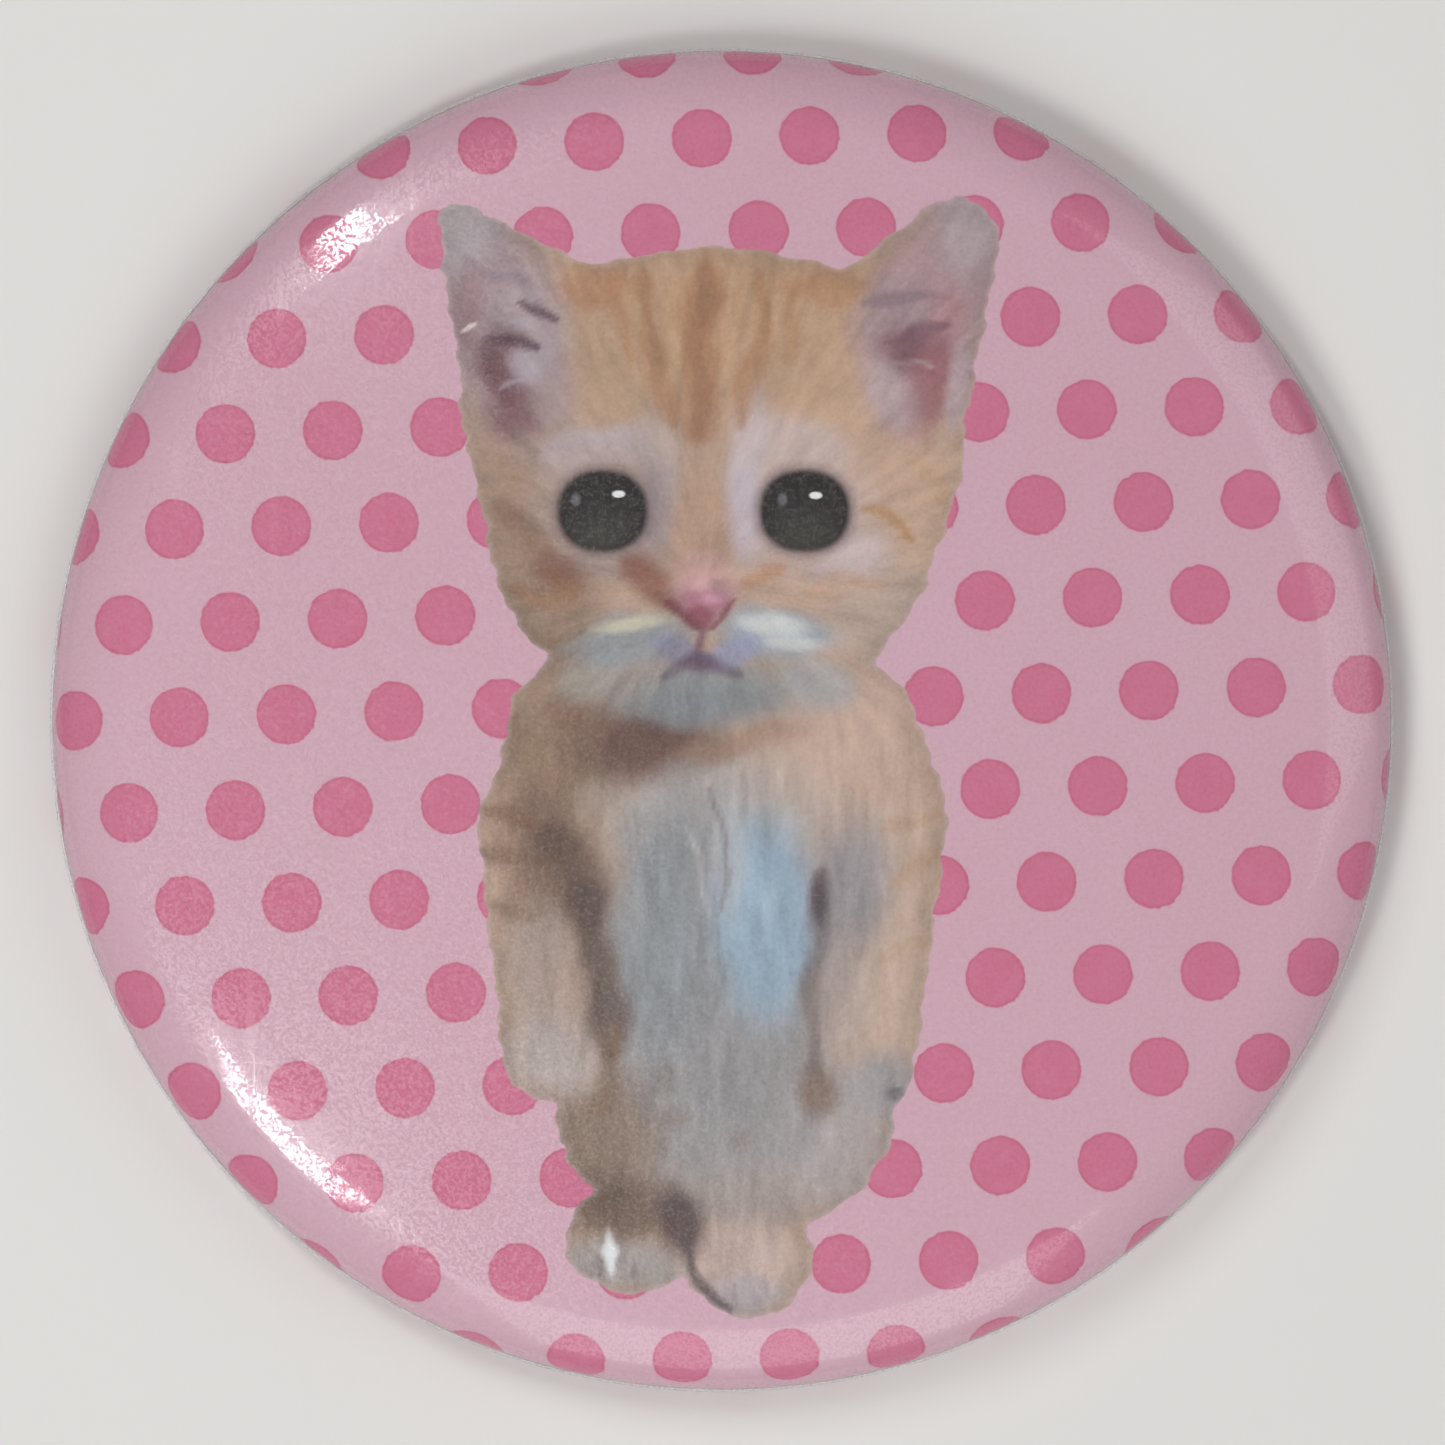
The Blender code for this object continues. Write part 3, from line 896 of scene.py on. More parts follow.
# Muzzle, chin, nose and mouth.
FACE_MARKS: tuple[Row, ...] = (
    (-0.7, 1.3, 4.2, 1.3, 136, 139, 140, 0.92, 0, 0.6), (-0.9, 0.6, 2.8, 0.8, 128, 132, 134, 0.8, 0, 0.6),
    (-5.6, 1.9, 1.5, 0.9, 150, 146, 138, 0.7, 25), (4.2, 1.6, 1.6, 1, 158, 158, 158, 0.75, -20),
    (-3.9, 3.4, 2.6, 1.05, 140, 144, 147, 0.92, 8), (2.3, 3.7, 2.4, 1, 150, 159, 168, 0.95, -6),
    (-3.9, 4.1, 1.5, 0.3, 194, 188, 164, 0.75, 8), (2.2, 4.1, 1.5, 0.45, 204, 206, 200, 0.75, -4),
    (3, 3.3, 1.2, 0.3, 208, 208, 200, 0.6, -6), (-1.9, 3, 1.1, 0.6, 129, 129, 152, 0.7, -22),
    (0.5, 2.9, 1.1, 0.6, 146, 150, 177, 0.75, 22), (-0.7, 5.6, 1.5, 0.6, 184, 143, 146, 0.8, 0, 0.4),
    (-0.75, 5, 1.2, 0.55, 164, 115, 128, 0.95, 0, 0.35), (-0.95, 4.4, 0.65, 0.5, 140, 84, 96, 0.95, 0, 0.4),
    (-0.4, 5.2, 0.5, 0.25, 190, 142, 158, 0.7), ((-2.5, 5.2, -1.9, 4.7, -1.1, 4), 0.3, 116, 68, 74, 0.85),
    ((0.6, 5, 0.15, 4.6, -0.6, 4), 0.26, 128, 76, 88, 0.8),
    ((-0.95, 4, -0.93, 3.3, -0.9, 2.7), 0.26, 120, 78, 96, 0.75, 0.2),
    ((-2.6, 1.9, -1.8, 2.15, -0.9, 2.5, 0, 2.2, 0.8, 1.95), 0.46, 108, 94, 108, 0.7, 0.5),
    (-0.9, 2.45, 0.8, 0.4, 100, 80, 96, 0.75, 0, 0.6),
)
# Body: pale chest, grey and blue-white belly, tabby arms and light paws, and a painted highlight on the left
# foot.
BODY_MARKS: tuple[Row, ...] = (
    (-7, -1.6, 3, 3, 136, 114, 96, 0.9, 0, 0.6), (5.8, -1.2, 4.2, 3.4, 189, 162, 147, 0.9, 0, 0.6),
    (-0.2, -3.6, 4.4, 1.9, 184, 176, 170, 0.9, 0, 0.6), (2.6, -2.6, 3.6, 1.2, 191, 168, 152, 0.6, 18, 0.6),
    (-0.3, -10.5, 4.8, 8, 147, 147, 148, 0.95, 0, 0.4), (-2.6, -9.5, 1.9, 5.6, 138, 142, 145, 0.8),
    (1.9, -8.6, 2.2, 4.1, 148, 168, 183, 0.95, 0, 0.4), (0.2, -5.9, 0.8, 2.8, 174, 176, 178, 0.5),
    (0.2, -17.2, 5.6, 3.4, 147, 144, 144, 0.9, 0, 0.6), (-5, -18, 2.2, 2.8, 128, 109, 94, 0.8, 0, 0.6),
    (4.9, -18, 2.4, 3, 166, 160, 160, 0.7, 0, 0.6), (-3.2, -0.9, 2.9, 1.6, 104, 80, 73, 0.95, 4, 0.6),
    (0.9, -0.9, 2.4, 0.6, 150, 123, 106, 0.7, 14, 0.6), (-6.6, 0.6, 0.8, 1.1, 118, 93, 79, 0.6, 18, 0.6),
    ((-7.8, -4.2, -7.6, -8), 1.9, 126, 104, 90, 0.9, 0),
    ((-7.9, -9.2, -7.6, -13.4), 1.8, 160, 143, 134, 0.85, 0),
    (-7.4, -14.5, 1.9, 1.6, 176, 167, 164, 0.7, 0, 0.6),
    ((7.3, -4.8, 6.7, -13.6), 2.1, 187, 165, 149, 0.9, 0),
    (5.5, -7.2, 1.6, 2.8, 142, 140, 144, 0.85, -10, 0.6),
    (5.1, -11.5, 1.1, 2.6, 160, 149, 145, 0.6, 0, 0.6), (6.9, -15.6, 1.8, 1.2, 152, 148, 149, 0.85, 0, 0.6),
    (7.5, -16, 0.45, 0.3, 102, 100, 104, 0.7),
    ((-7.6, -4.8, -6.3, -6.2, -5.6, -8.6), 1.35, 94, 77, 69, 0.8, 0.45),
    ((-5.7, -7.4, -5.3, -10.6, -4.6, -14.2), 1.2, 94, 80, 73, 0.85, 0.4),
    ((-4.6, -13.2, -4.7, -15, -5.4, -16.6), 0.7, 126, 105, 88, 0.6),
    ((-10.3, -3.9, -9.2, -4, -8.2, -4.4), 0.55, 122, 95, 76, 0.55),
    ((-10.3, -5.8, -9, -5.9, -7.6, -6.3), 0.5, 116, 91, 75, 0.55),
    ((-10.1, -7.9, -8.9, -8.1, -7.8, -8.3), 0.5, 130, 105, 86, 0.45),
    ((4.3, -6.6, 4.1, -8.6, 3.9, -11, 3.9, -15), 0.6, 112, 98, 95, 0.6, 0.4),
    (4.2, -7.6, 0.42, 1.1, 74, 64, 70, 0.75, 0, 0.6),
    ((9.5, -3.6, 8.4, -4.2, 7.2, -4.8), 0.45, 172, 139, 113, 0.5),
    ((9.6, -5.6, 8.4, -6.4, 7.2, -7), 0.45, 176, 145, 116, 0.5),
    ((9.2, -9.2, 8, -9.9, 6.8, -10.4), 0.45, 176, 149, 126, 0.45),
    (4.1, -16, 0.85, 1.1, 124, 102, 86, 0.75, 10, 0.6),
    ((-0.3, -3, 0.1, -5.4, 0, -8.4), 0.16, 122, 107, 110, 0.5),
    ((-1.6, -4.6, -0.9, -6.4, -0.4, -8.4), 0.14, 184, 178, 177, 0.5),
    ((0, -9, -0.3, -11.4, 0, -14), 0.2, 130, 131, 135, 0.45), (-2.4, -15.4, 0.5, 0.8, 120, 108, 103, 0.45),
    (-2, -17, 0.7, 0.5, 126, 111, 104, 0.45), (0.8, -18, 0.5, 0.5, 134, 117, 112, 0.35),
    (-4.3, -20.9, 2.2, 1.4, 105, 88, 77, 0.85, 0, 0.6),
    # The near-white ovals at (-4.8, -22.9) below are a painted highlight: a star-shaped glint of light
    # reflected on the film over the left foot.
    (-4.2, -23.4, 2.6, 1.1, 156, 151, 149, 0.85, 0, 0.6), (-4.8, -22.9, 0.2, 0.95, 236, 232, 228, 0.9, 4),
    (-4.8, -22.8, 0.38, 0.36, 236, 232, 228, 0.9), (1.2, -20.9, 2.8, 0.8, 150, 142, 140, 0.6, 0, 0.6),
    (1, -22.9, 2.3, 1.4, 184, 164, 156, 0.85, 0, 0.6), (0.9, -24.7, 1.8, 0.8, 168, 162, 168, 0.75, 0, 0.6),
    (-1.8, -21.5, 0.95, 1.5, 84, 70, 71, 0.9, 14, 0.5),
    ((-1.5, -22.4, -1.3, -23.6, -0.6, -24.6, 0.3, -25.3), 0.34, 98, 86, 88, 0.8, 0.3),
    ((-3.7, -23.3, -3.6, -24.2), 0.16, 124, 116, 116, 0.5),
    ((-5.1, -23.1, -5.2, -23.9), 0.16, 124, 116, 116, 0.5),
    ((0.6, -24.2, 0.6, -25.1), 0.16, 134, 120, 122, 0.5), ((2, -24, 2.1, -24.8), 0.16, 134, 120, 122, 0.5),
)


@dataclass(frozen=True)
class Kitten:
    """An upright ginger kitten, seen from the front with its arms hanging."""

    head: tuple[Oval, ...] = (
        Oval(-0.2, 11.6, 10.55, 7.9), Oval(-0.5, 6.2, 8.7, 5.6), Oval(-0.4, 14.6, 9.2, 4.9))
    ears: tuple[Ear, ...] = (
        Ear(((-12.45, 22.9), (-4.6, 18.9), (-7.6, 12.0), (-10.75, 11.6))),
        Ear(((12.2, 21.9), (10.4, 12.6), (7.4, 12.4), (4.9, 19.0), (9.9, 22.9))))
    body: tuple[Union[Oval, Limb], ...] = (
        Oval(-0.45, 0.3, 8.5, 3.5), Oval(-0.2, -2.8, 9.4, 4.8), Limb((0.0, -5.0), (0.3, -14.6), (6.6, 7.0)),
        Oval(0.1, -17.2, 6.9, 4.8))
    arms: tuple[Limb, ...] = (
        Limb((-7.6, -4.6), (-7.25, -14.2), (2.85, 2.15)), Limb((6.8, -4.4), (6.2, -14.5), (2.85, 2.1)))
    feet: tuple[Oval, ...] = (Oval(-3.9, -22.3, 2.8, 2.3), Oval(1.1, -23.0, 2.8, 2.6))
    base: Colour = ink(178, 152, 134)
    nose: Point = (-0.8, 6.0)
    seed: int = 11
    grain_pitch: float = 0.11
    grain_corner: Point = (-15.0, -28.0)
    grain_size: Point = (30.0, 54.0)
    streak_steps: int = 9
    streak_contrast: float = 0.055
    edge_shade: float = 0.16
    wavy_width: float = 1.6

    def edge(self, x: Array, y: Array) -> Array:
        """Distance to the whole outline.

        Args:
            x: Places to the right, in millimetres.
            y: Places upwards.

        Returns:
            Distances in millimetres, below 0 inside.
        """
        reach = self.joined([part.distance(x, y) for part in self.head], 3.0)
        ears = [ear.distance(x, y) for ear in self.ears]
        reach = smooth_min(reach, np.minimum(*ears), 0.9)
        trunk = self.joined([part.distance(x, y) for part in self.body], 2.0)
        limbs = self.joined([part.distance(x, y) for part in self.arms], 0.4)
        feet = self.joined([part.distance(x, y) for part in self.feet], 0.5)
        trunk = smooth_min(smooth_min(trunk, limbs, 0.6), feet, 0.6)
        return smooth_min(reach, trunk, 0.9) + self.tufts(x, y)

    @staticmethod
    def joined(parts: list[Array], blend: float) -> Array:
        """Joins distances with soft corners.

        Args:
            parts: Distances to each part.
            blend: How wide the corners between them are filled.

        Returns:
            Distance to all of them.
        """
        reach = parts[0]
        for part in parts[1:]:
            reach = smooth_min(reach, part, blend)
        return reach

    @staticmethod
    def tufts(x: Array, y: Array) -> Array:
        """Small unevenness of the fur's edge, in waves of two lengths."""
        long = 0.10 * np.sin(2.3 * y + 1.2 * x) * np.sin(1.9 * x - 0.7 * y + 1.0)
        return long + 0.05 * np.sin(6.1 * y - 2.0 * x)

    def fur_direction(self, x: Array, y: Array) -> tuple[Array, Array]:
        """Direction that the fur lies in: away from the nose on the head, and down on the body.

        Args:
            x: Places to the right, in millimetres.
            y: Places upwards.

        Returns:
            The direction's parts to the right and upwards.
        """
        dx, dy = x - self.nose[0], y - self.nose[1]
        fade = smooth((y + 1.5) / 3.0)
        dx, dy = fade * dx / 6, fade * dy / 6 - (1 - fade)
        length = np.maximum(np.hypot(dx, dy), 0.25)
        return dx / length, dy / length

    def fur(self, x: Array, y: Array) -> Array:
        """Streaks along the fur, found by smearing soft noise along its direction.

        Args:
            x: Places to the right, in millimetres.
            y: Places upwards.

        Returns:
            Streaks about 0, with a standard deviation of 1.
        """
        rng = np.random.default_rng(self.seed)
        pitch, low = self.grain_pitch, self.grain_corner
        shape = tuple(int(size / pitch) for size in self.grain_size)
        grain = rng.normal(size=shape)
        for axis in (0, 1, 0, 1):
            grain = (grain + np.roll(grain, 1, axis) + np.roll(grain, -1, axis)) / 3
        total = np.zeros_like(x)
        for sense in (1, -1):
            px, py = x.copy(), y.copy()
            for _ in range(self.streak_steps):
                i = np.clip(((px - low[0]) / pitch).astype(int), 0, shape[0] - 1)
                j = np.clip(((py - low[1]) / pitch).astype(int), 0, shape[1] - 1)
                total += grain[i, j]
                dx, dy = self.fur_direction(px, py)
                px, py = px + sense * pitch * dx, py + sense * pitch * dy
        return total / total.std()

    @staticmethod
    def marks() -> list[Mark]:
        """The coat's patches and stripes, in the order they are laid on."""
        made: list[Mark] = []
        for first, *rest in HEAD_MARKS + EAR_MARKS + BODY_MARKS + FACE_MARKS:
            if isinstance(first, tuple):
                width, red, green, blue, *more = rest
                made.append(Stroke(tuple(zip(first[::2], first[1::2])), width, ink(red, green, blue), *more))
            else:
                y, width, height, red, green, blue, *more = rest
                made.append(Oval(first, y, width, height, ink(red, green, blue), *more))
        return made

    def paint(self, x: Array, y: Array) -> Array:
        """Colours of the coat.

        Args:
            x: Places to the right, in millimetres.
            y: Places upwards.

        Returns:
            A linear colour for each place.
        """
        shade = np.tile(np.array(self.base), (len(x), 1))
        wave = 0.16 * np.sin(1.1 * x + 1.3 * y) + 0.10 * np.sin(1.9 * y - 2.3 * x + 0.7)
        wx, wy = x + wave, y - 0.8 * wave
        for mark in self.marks():
            wavy = isinstance(mark, Stroke) or mark.width > self.wavy_width
            cover = mark.cover(wx, wy) if wavy else mark.cover(x, y)
            shade += cover[:, None] * (np.array(mark.colour) - shade)
        shade *= (1 - self.edge_shade * smooth(1 + self.edge(x, y) / 1.1))[:, None]
        return np.clip(shade * (1 + self.streak_contrast * self.fur(x, y))[:, None], 0.02, 0.92)


# Meshes


def new_mesh(name: str, points: Array, faces: list[tuple[int, ...]], sharp: float = 40.0) -> bpy.types.Mesh:
    """A smooth-shaded mesh from points in metres.

    Args:
        name: Its name.
        points: Points.
        faces: Faces as numbers of points.
        sharp: Edges steeper than this many degrees stay sharp.

    Returns:
        The mesh.
    """
    mesh = bpy.data.meshes.new(name)
    mesh.from_pydata(points.tolist(), [], faces)
    mesh.update()
    mesh.shade_smooth()
    mesh.set_sharp_from_angle(angle=math.radians(sharp))
    return mesh


def place(name: str, mesh: bpy.types.Mesh, finish: Optional[bpy.types.Material] = None) -> bpy.types.Object:
    """Puts a mesh in the scene.

    Args:
        name: The object's name.
        mesh: Its mesh.
        finish: Its only material, if it gets one.

    Returns:
        The object.
    """
    made = bpy.data.objects.new(name, mesh)
    if finish is not None:
        mesh.materials.clear()
        mesh.materials.append(finish)
    bpy.context.scene.collection.objects.link(made)
    return made


def plain_mesh(name: str, shape: bmesh.types.BMesh) -> bpy.types.Mesh:
    """Ends the editing of a shape.

    Args:
        name: The mesh's name.
        shape: The shape, which is freed.

    Returns:
        Its mesh.
    """
    mesh = bpy.data.meshes.new(name)
    shape.to_mesh(mesh)
    shape.free()
    return mesh


def settle(piece: bpy.types.Object) -> bpy.types.Object:
    """Turns a piece's modifiers into a plain mesh.

    Args:
        piece: The piece.

    Returns:
        The same piece without modifiers.
    """
    evaluated = piece.evaluated_get(bpy.context.evaluated_depsgraph_get())
    mesh = bpy.data.meshes.new_from_object(evaluated)
    piece.modifiers.clear()
    piece.data = mesh
    return piece


def attach(piece: bpy.types.Object, body: Body, slot: Slot, *nodes: Node) -> bpy.types.Object:
    """Makes a piece part of the frame.

    Args:
        piece: The piece.
        body: The body that it rides on.
        slot: The record's slot that its material belongs to. It is not used.
        nodes: The nodes that it stands for.

    Returns:
        The piece.
    """
    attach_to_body(piece, body.value)
    if nodes:
        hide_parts(*(node.value for node in nodes))
    LOG.info("%s: %d faces", piece.name, len(piece.data.polygons))
    return piece


@dataclass(frozen=True)
class Pleats:
    """Small folds where film and paper are gathered in under the rim."""

    counts: tuple[int, ...] = (61, 97, 149)
    depth: float = 0.07 * MM
    gain: float = 2.2
    seed: int = 5

    def depths(self, azimuth: Array, share: Array) -> Array:
        """How far each point is pressed in.

        Args:
            azimuth: Angles round the rim.
            share: 0 where the folds start and 1 where they are full.

        Returns:
            Depths in metres.
        """
        rng = np.random.default_rng(self.seed)
        fold = np.zeros_like(azimuth)
        for count in self.counts:
            shift, drift = rng.uniform(0, WHOLE_TURN, 2)
            wander = 0.8 * np.sin(5 * azimuth + drift) + 0.5 * np.sin(13 * azimuth + shift)
            fold += np.abs(np.sin((count * azimuth + shift + wander) / 2))
        fold = 1 - fold / len(self.counts)
        patchy = 0.65 + 0.35 * np.sin(3 * azimuth + 1.0) * np.sin(7 * azimuth)
        return self.depth * share * patchy * np.clip(self.gain * fold, 0, 1)


@dataclass
class FaceSkins:
    """The printed paper and the clear film over it, both drawn over the shell and turned in at the back."""

    gauges: Gauges
    kitten: Kitten
    pleats: Pleats = Pleats()
    columns: int = 220
    rows: int = 308
    film_steps: int = 256
    grid_radius: float = 26.3 * MM
    grid_margin: float = 1.004
    grid_shares: Point = (0.72, 0.28)
    grid_per_ring: int = 4
    fold_start: int = 20
    fold_rings: float = 9.0
    print_half: Point = (14.0, 27.0)
    section: Section = field(init=False)
    breaks: int = field(init=False)

    def __post_init__(self) -> None:
        """Works out the section that both skins follow."""
        self.section, self.breaks = self.gauges.face()

    def fold_share(self, count: int) -> Array:
        """How full the folds are at each point of the section."""
        return smooth((np.arange(count) - self.breaks - self.fold_start) / self.fold_rings)

    def rings(self, azimuths: Array, depth: float, first: int) -> tuple[Array, int]:
        """Points of rings round one side of a skin.

        Args:
            azimuths: Angle of each point in a ring.
            depth: Depth of the side under the film's outer side.
            first: Number of the section's point that the first ring follows.

        Returns:
            Points, and the number of rings.
        """
        out, up = self.section.inset(depth)
        heading = np.array(self.section.heading)
        share = self.fold_share(len(out))
        made = []
        for i in range(first, len(out)):
            fold = self.pleats.depths(azimuths, np.full_like(azimuths, share[i]))
            radius = out[i] - fold * math.sin(heading[i])
            height = up[i] - fold * math.cos(heading[i])
            made.append(np.stack([radius * np.cos(azimuths), radius * np.sin(azimuths), height], 1))
        return np.concatenate(made), len(made)

    def print_radii(self) -> Array:
        """Radius on the flat print that lies at each point of the section."""
        out, up = (np.array(v) for v in (self.section.out, self.section.up))
        run = np.concatenate([[0], np.cumsum(np.hypot(np.diff(out), np.diff(up)))])
        flat = out.copy()
        flat[self.breaks:] = out[self.breaks] + run[self.breaks:] - run[self.breaks]
        return flat

    def film(self, finish: bpy.types.Material) -> bpy.types.Object:
        """The clear film: both sides, closed along its edge.

        Args:
            finish: Its material.

        Returns:
            The piece.
        """
        azimuths = np.linspace(0, WHOLE_TURN, self.film_steps, endpoint=False)
        sides = [self.rings(azimuths, depth, 1) for depth in (0.0, self.gauges.film)]
        tops = [[0.0, 0.0, self.section.inset(depth)[1][0]] for depth in (0.0, self.gauges.film)]
        count, n = sides[0][1], self.film_steps
        points = np.concatenate([sides[0][0], sides[1][0], np.array(tops)])
        faces = self.band(0, count, n) + self.band(count * n, count, n, inward=True)
        outer, inner, last = 2 * count * n, 2 * count * n + 1, count - 1
        for i in range(n):
            j = (i + 1) % n
            faces += [(outer, i, j), (inner, count * n + j, count * n + i)]
            faces.append((last * n + i, (count + last) * n + i, (count + last) * n + j, last * n + j))
        piece = place("clear_film_skin", new_mesh("clear_film_skin", points, faces), finish)
        return attach(piece, Body.BADGE, Slot.FILM, Node.FILM)

    @staticmethod
    def band(start: int, rings: int, n: int, inward: bool = False) -> list[tuple[int, ...]]:
        """Faces between rings that follow each other.

        Args:
            start: Number of the first ring's first point.
            rings: Number of rings.
            n: Number of points in a ring.
            inward: Whether the faces look inwards.

        Returns:
            The faces.
        """
        faces = []
        for ring in range(rings - 1):
            for i in range(n):
                a, b = start + ring * n + i, start + ring * n + (i + 1) % n
                face = (a, a + n, b + n, b)
                faces.append(face[::-1] if inward else face)
        return faces

    def grid(self) -> tuple[Array, list[tuple[int, ...]], list[int]]:
        """A fine square grid pulled into a disc, for the face's printed side.

        Returns:
            Flat places, faces, and the numbers of the points round its edge, anticlockwise.
        """
        u = np.linspace(-1, 1, self.columns + 1)
        v = np.linspace(-1, 1, self.rows + 1)
        u = u * (self.grid_shares[0] + self.grid_shares[1] * u**4)
        uu, vv = np.meshgrid(u, v)
        x = self.grid_radius * uu * np.sqrt(1 - vv**2 / 2)
        y = self.grid_radius * vv * np.sqrt(1 - uu**2 / 2)
        wide = self.columns + 1
        corner = (np.arange(self.rows)[:, None] * wide + np.arange(self.columns)[None, :]).ravel()
        faces = np.stack([corner, corner + 1, corner + 1 + wide, corner + wide], 1).tolist()
        top = self.rows * wide
        rim = list(range(0, self.columns)) + [self.columns + r * wide for r in range(self.rows)]
        rim += [top + c for c in range(self.columns, 0, -1)] + [r * wide for r in range(self.rows, 0, -1)]
        return np.stack([x.ravel(), y.ravel()], 1), faces, rim

    def paper(self, finish: bpy.types.Material) -> bpy.types.Object:
        """The printed paper, with the kitten laid down on the points of its face.

        Args:
            finish: Its material.

        Returns:
            The piece.
        """
        flat, faces, rim = self.grid()
        depth = self.gauges.paper_depth
        out, up = self.section.inset(depth)
        radii = self.print_radii()
        first = int(np.searchsorted(radii, self.grid_radius * self.grid_margin))
        reach = np.hypot(flat[:, 0], flat[:, 1])
        radius = np.interp(reach, radii, out)
        pull = radius / np.maximum(reach, 1e-9)
        points = [np.stack([flat[:, 0] * pull, flat[:, 1] * pull, np.interp(reach, radii, up)], 1)]
        prints = [flat]

        joint = rim[::self.grid_per_ring]
        azimuths = np.arctan2(flat[joint, 1], flat[joint, 0])
        n, start = len(joint), len(flat)
        outer, count = self.rings(azimuths, depth, first)
        inner, inner_count = self.rings(azimuths, depth + self.gauges.paper, 1)
        around = np.stack([np.cos(azimuths), np.sin(azimuths)], 1)
        points += [outer, inner, np.array([[0.0, 0.0, self.section.inset(depth + self.gauges.paper)[1][0]]])]
        prints += [around * radii[i] for i in range(first, len(radii))]
        prints += [around * radii[i] for i in range(1, len(radii))] + [np.zeros((1, 2))]
        faces += self.stitched(rim, start, n)
        faces += self.band(start, count, n)
        below = start + count * n
        faces += self.band(below, inner_count, n, inward=True)
        last, last_below = start + (count - 1) * n, below + (inner_count - 1) * n
        middle = below + inner_count * n
        for i in range(n):
            j = (i + 1) % n
            faces.append((last + i, last_below + i, last_below + j, last + j))
            faces.append((middle, below + j, below + i))
        mesh = new_mesh("printed_paper_sheet", np.concatenate(points), faces)
        self.lay_print(mesh, np.concatenate(prints))
        piece = place("printed_paper_sheet", mesh, finish)
        return attach(piece, Body.BADGE, Slot.PAPER, Node.PAPER)

    @staticmethod
    def stitched(rim: list[int], start: int, n: int) -> list[tuple[int, ...]]:
        """Faces that join the grid's edge to a ring with fewer points.

        Args:
            rim: Numbers of the points round the grid's edge.
            start: Number of the ring's first point.
            n: Number of points in the ring.

        Returns:
            The faces.
        """
        faces, step = [], len(rim) // n
        for i in range(n):
            a, b = start + i, start + (i + 1) % n
            run = [rim[(i * step + k) % len(rim)] for k in range(step + 1)]
            half = step // 2
            faces += [(run[k], a, run[k + 1]) for k in range(half)]
            faces += [(run[k], b, run[k + 1]) for k in range(half, step)]
            faces.append((run[half], a, b))
        return faces

    def lay_print(self, mesh: bpy.types.Mesh, flat: Array) -> None:
        """Stores the print on a mesh's points.

        Args:
            mesh: The paper's mesh.
            flat: Where each point lies on the flat print.
        """
        x, y = flat[:, 0] / MM, flat[:, 1] / MM
        where = mesh.attributes.new(Layer.PLACE.value, "FLOAT_VECTOR", "POINT")
        where.data.foreach_set("vector", np.column_stack([flat, np.zeros(len(flat))]).ravel())
        edge = mesh.attributes.new(Layer.EDGE.value, "FLOAT", "POINT")
        edge.data.foreach_set("value", np.clip(self.kitten.edge(x, y), -4, 4) * MM)
        near = (np.abs(x) < self.print_half[0]) & (np.abs(y) < self.print_half[1])
        colours = np.ones((len(flat), 4))
        colours[near, :3] = self.kitten.paint(x[near], y[near])
        inks = mesh.attributes.new(Layer.INK.value, "FLOAT_COLOR", "POINT")
        inks.data.foreach_set("color", colours.ravel())


def turned(name: str, outline: Sequence[Point], steps: int) -> bpy.types.Mesh:
    """A closed outline turned round Z.

    Args:
        name: The mesh's name.
        outline: Its (out, up) points. The first and the last one lie on the axis.
        steps: Number of steps round the axis.

    Returns:
        The mesh.
    """
    rings = outline[1:-1]
    azimuths = np.linspace(0, WHOLE_TURN, steps, endpoint=False)
    points = [np.stack([out * np.cos(azimuths), out * np.sin(azimuths), np.full(steps, up)], 1)
              for out, up in rings]
    points.append(np.array([[0.0, 0.0, outline[0][1]], [0.0, 0.0, outline[-1][1]]]))
    faces = FaceSkins.band(0, len(rings), steps)
    middle, last = len(rings) * steps, (len(rings) - 1) * steps
    for i in range(steps):
        j = (i + 1) % steps
        faces += [(middle, i, j), (middle + 1, last + j, last + i)]
    return new_mesh(name, np.concatenate(points), faces, 30.0)


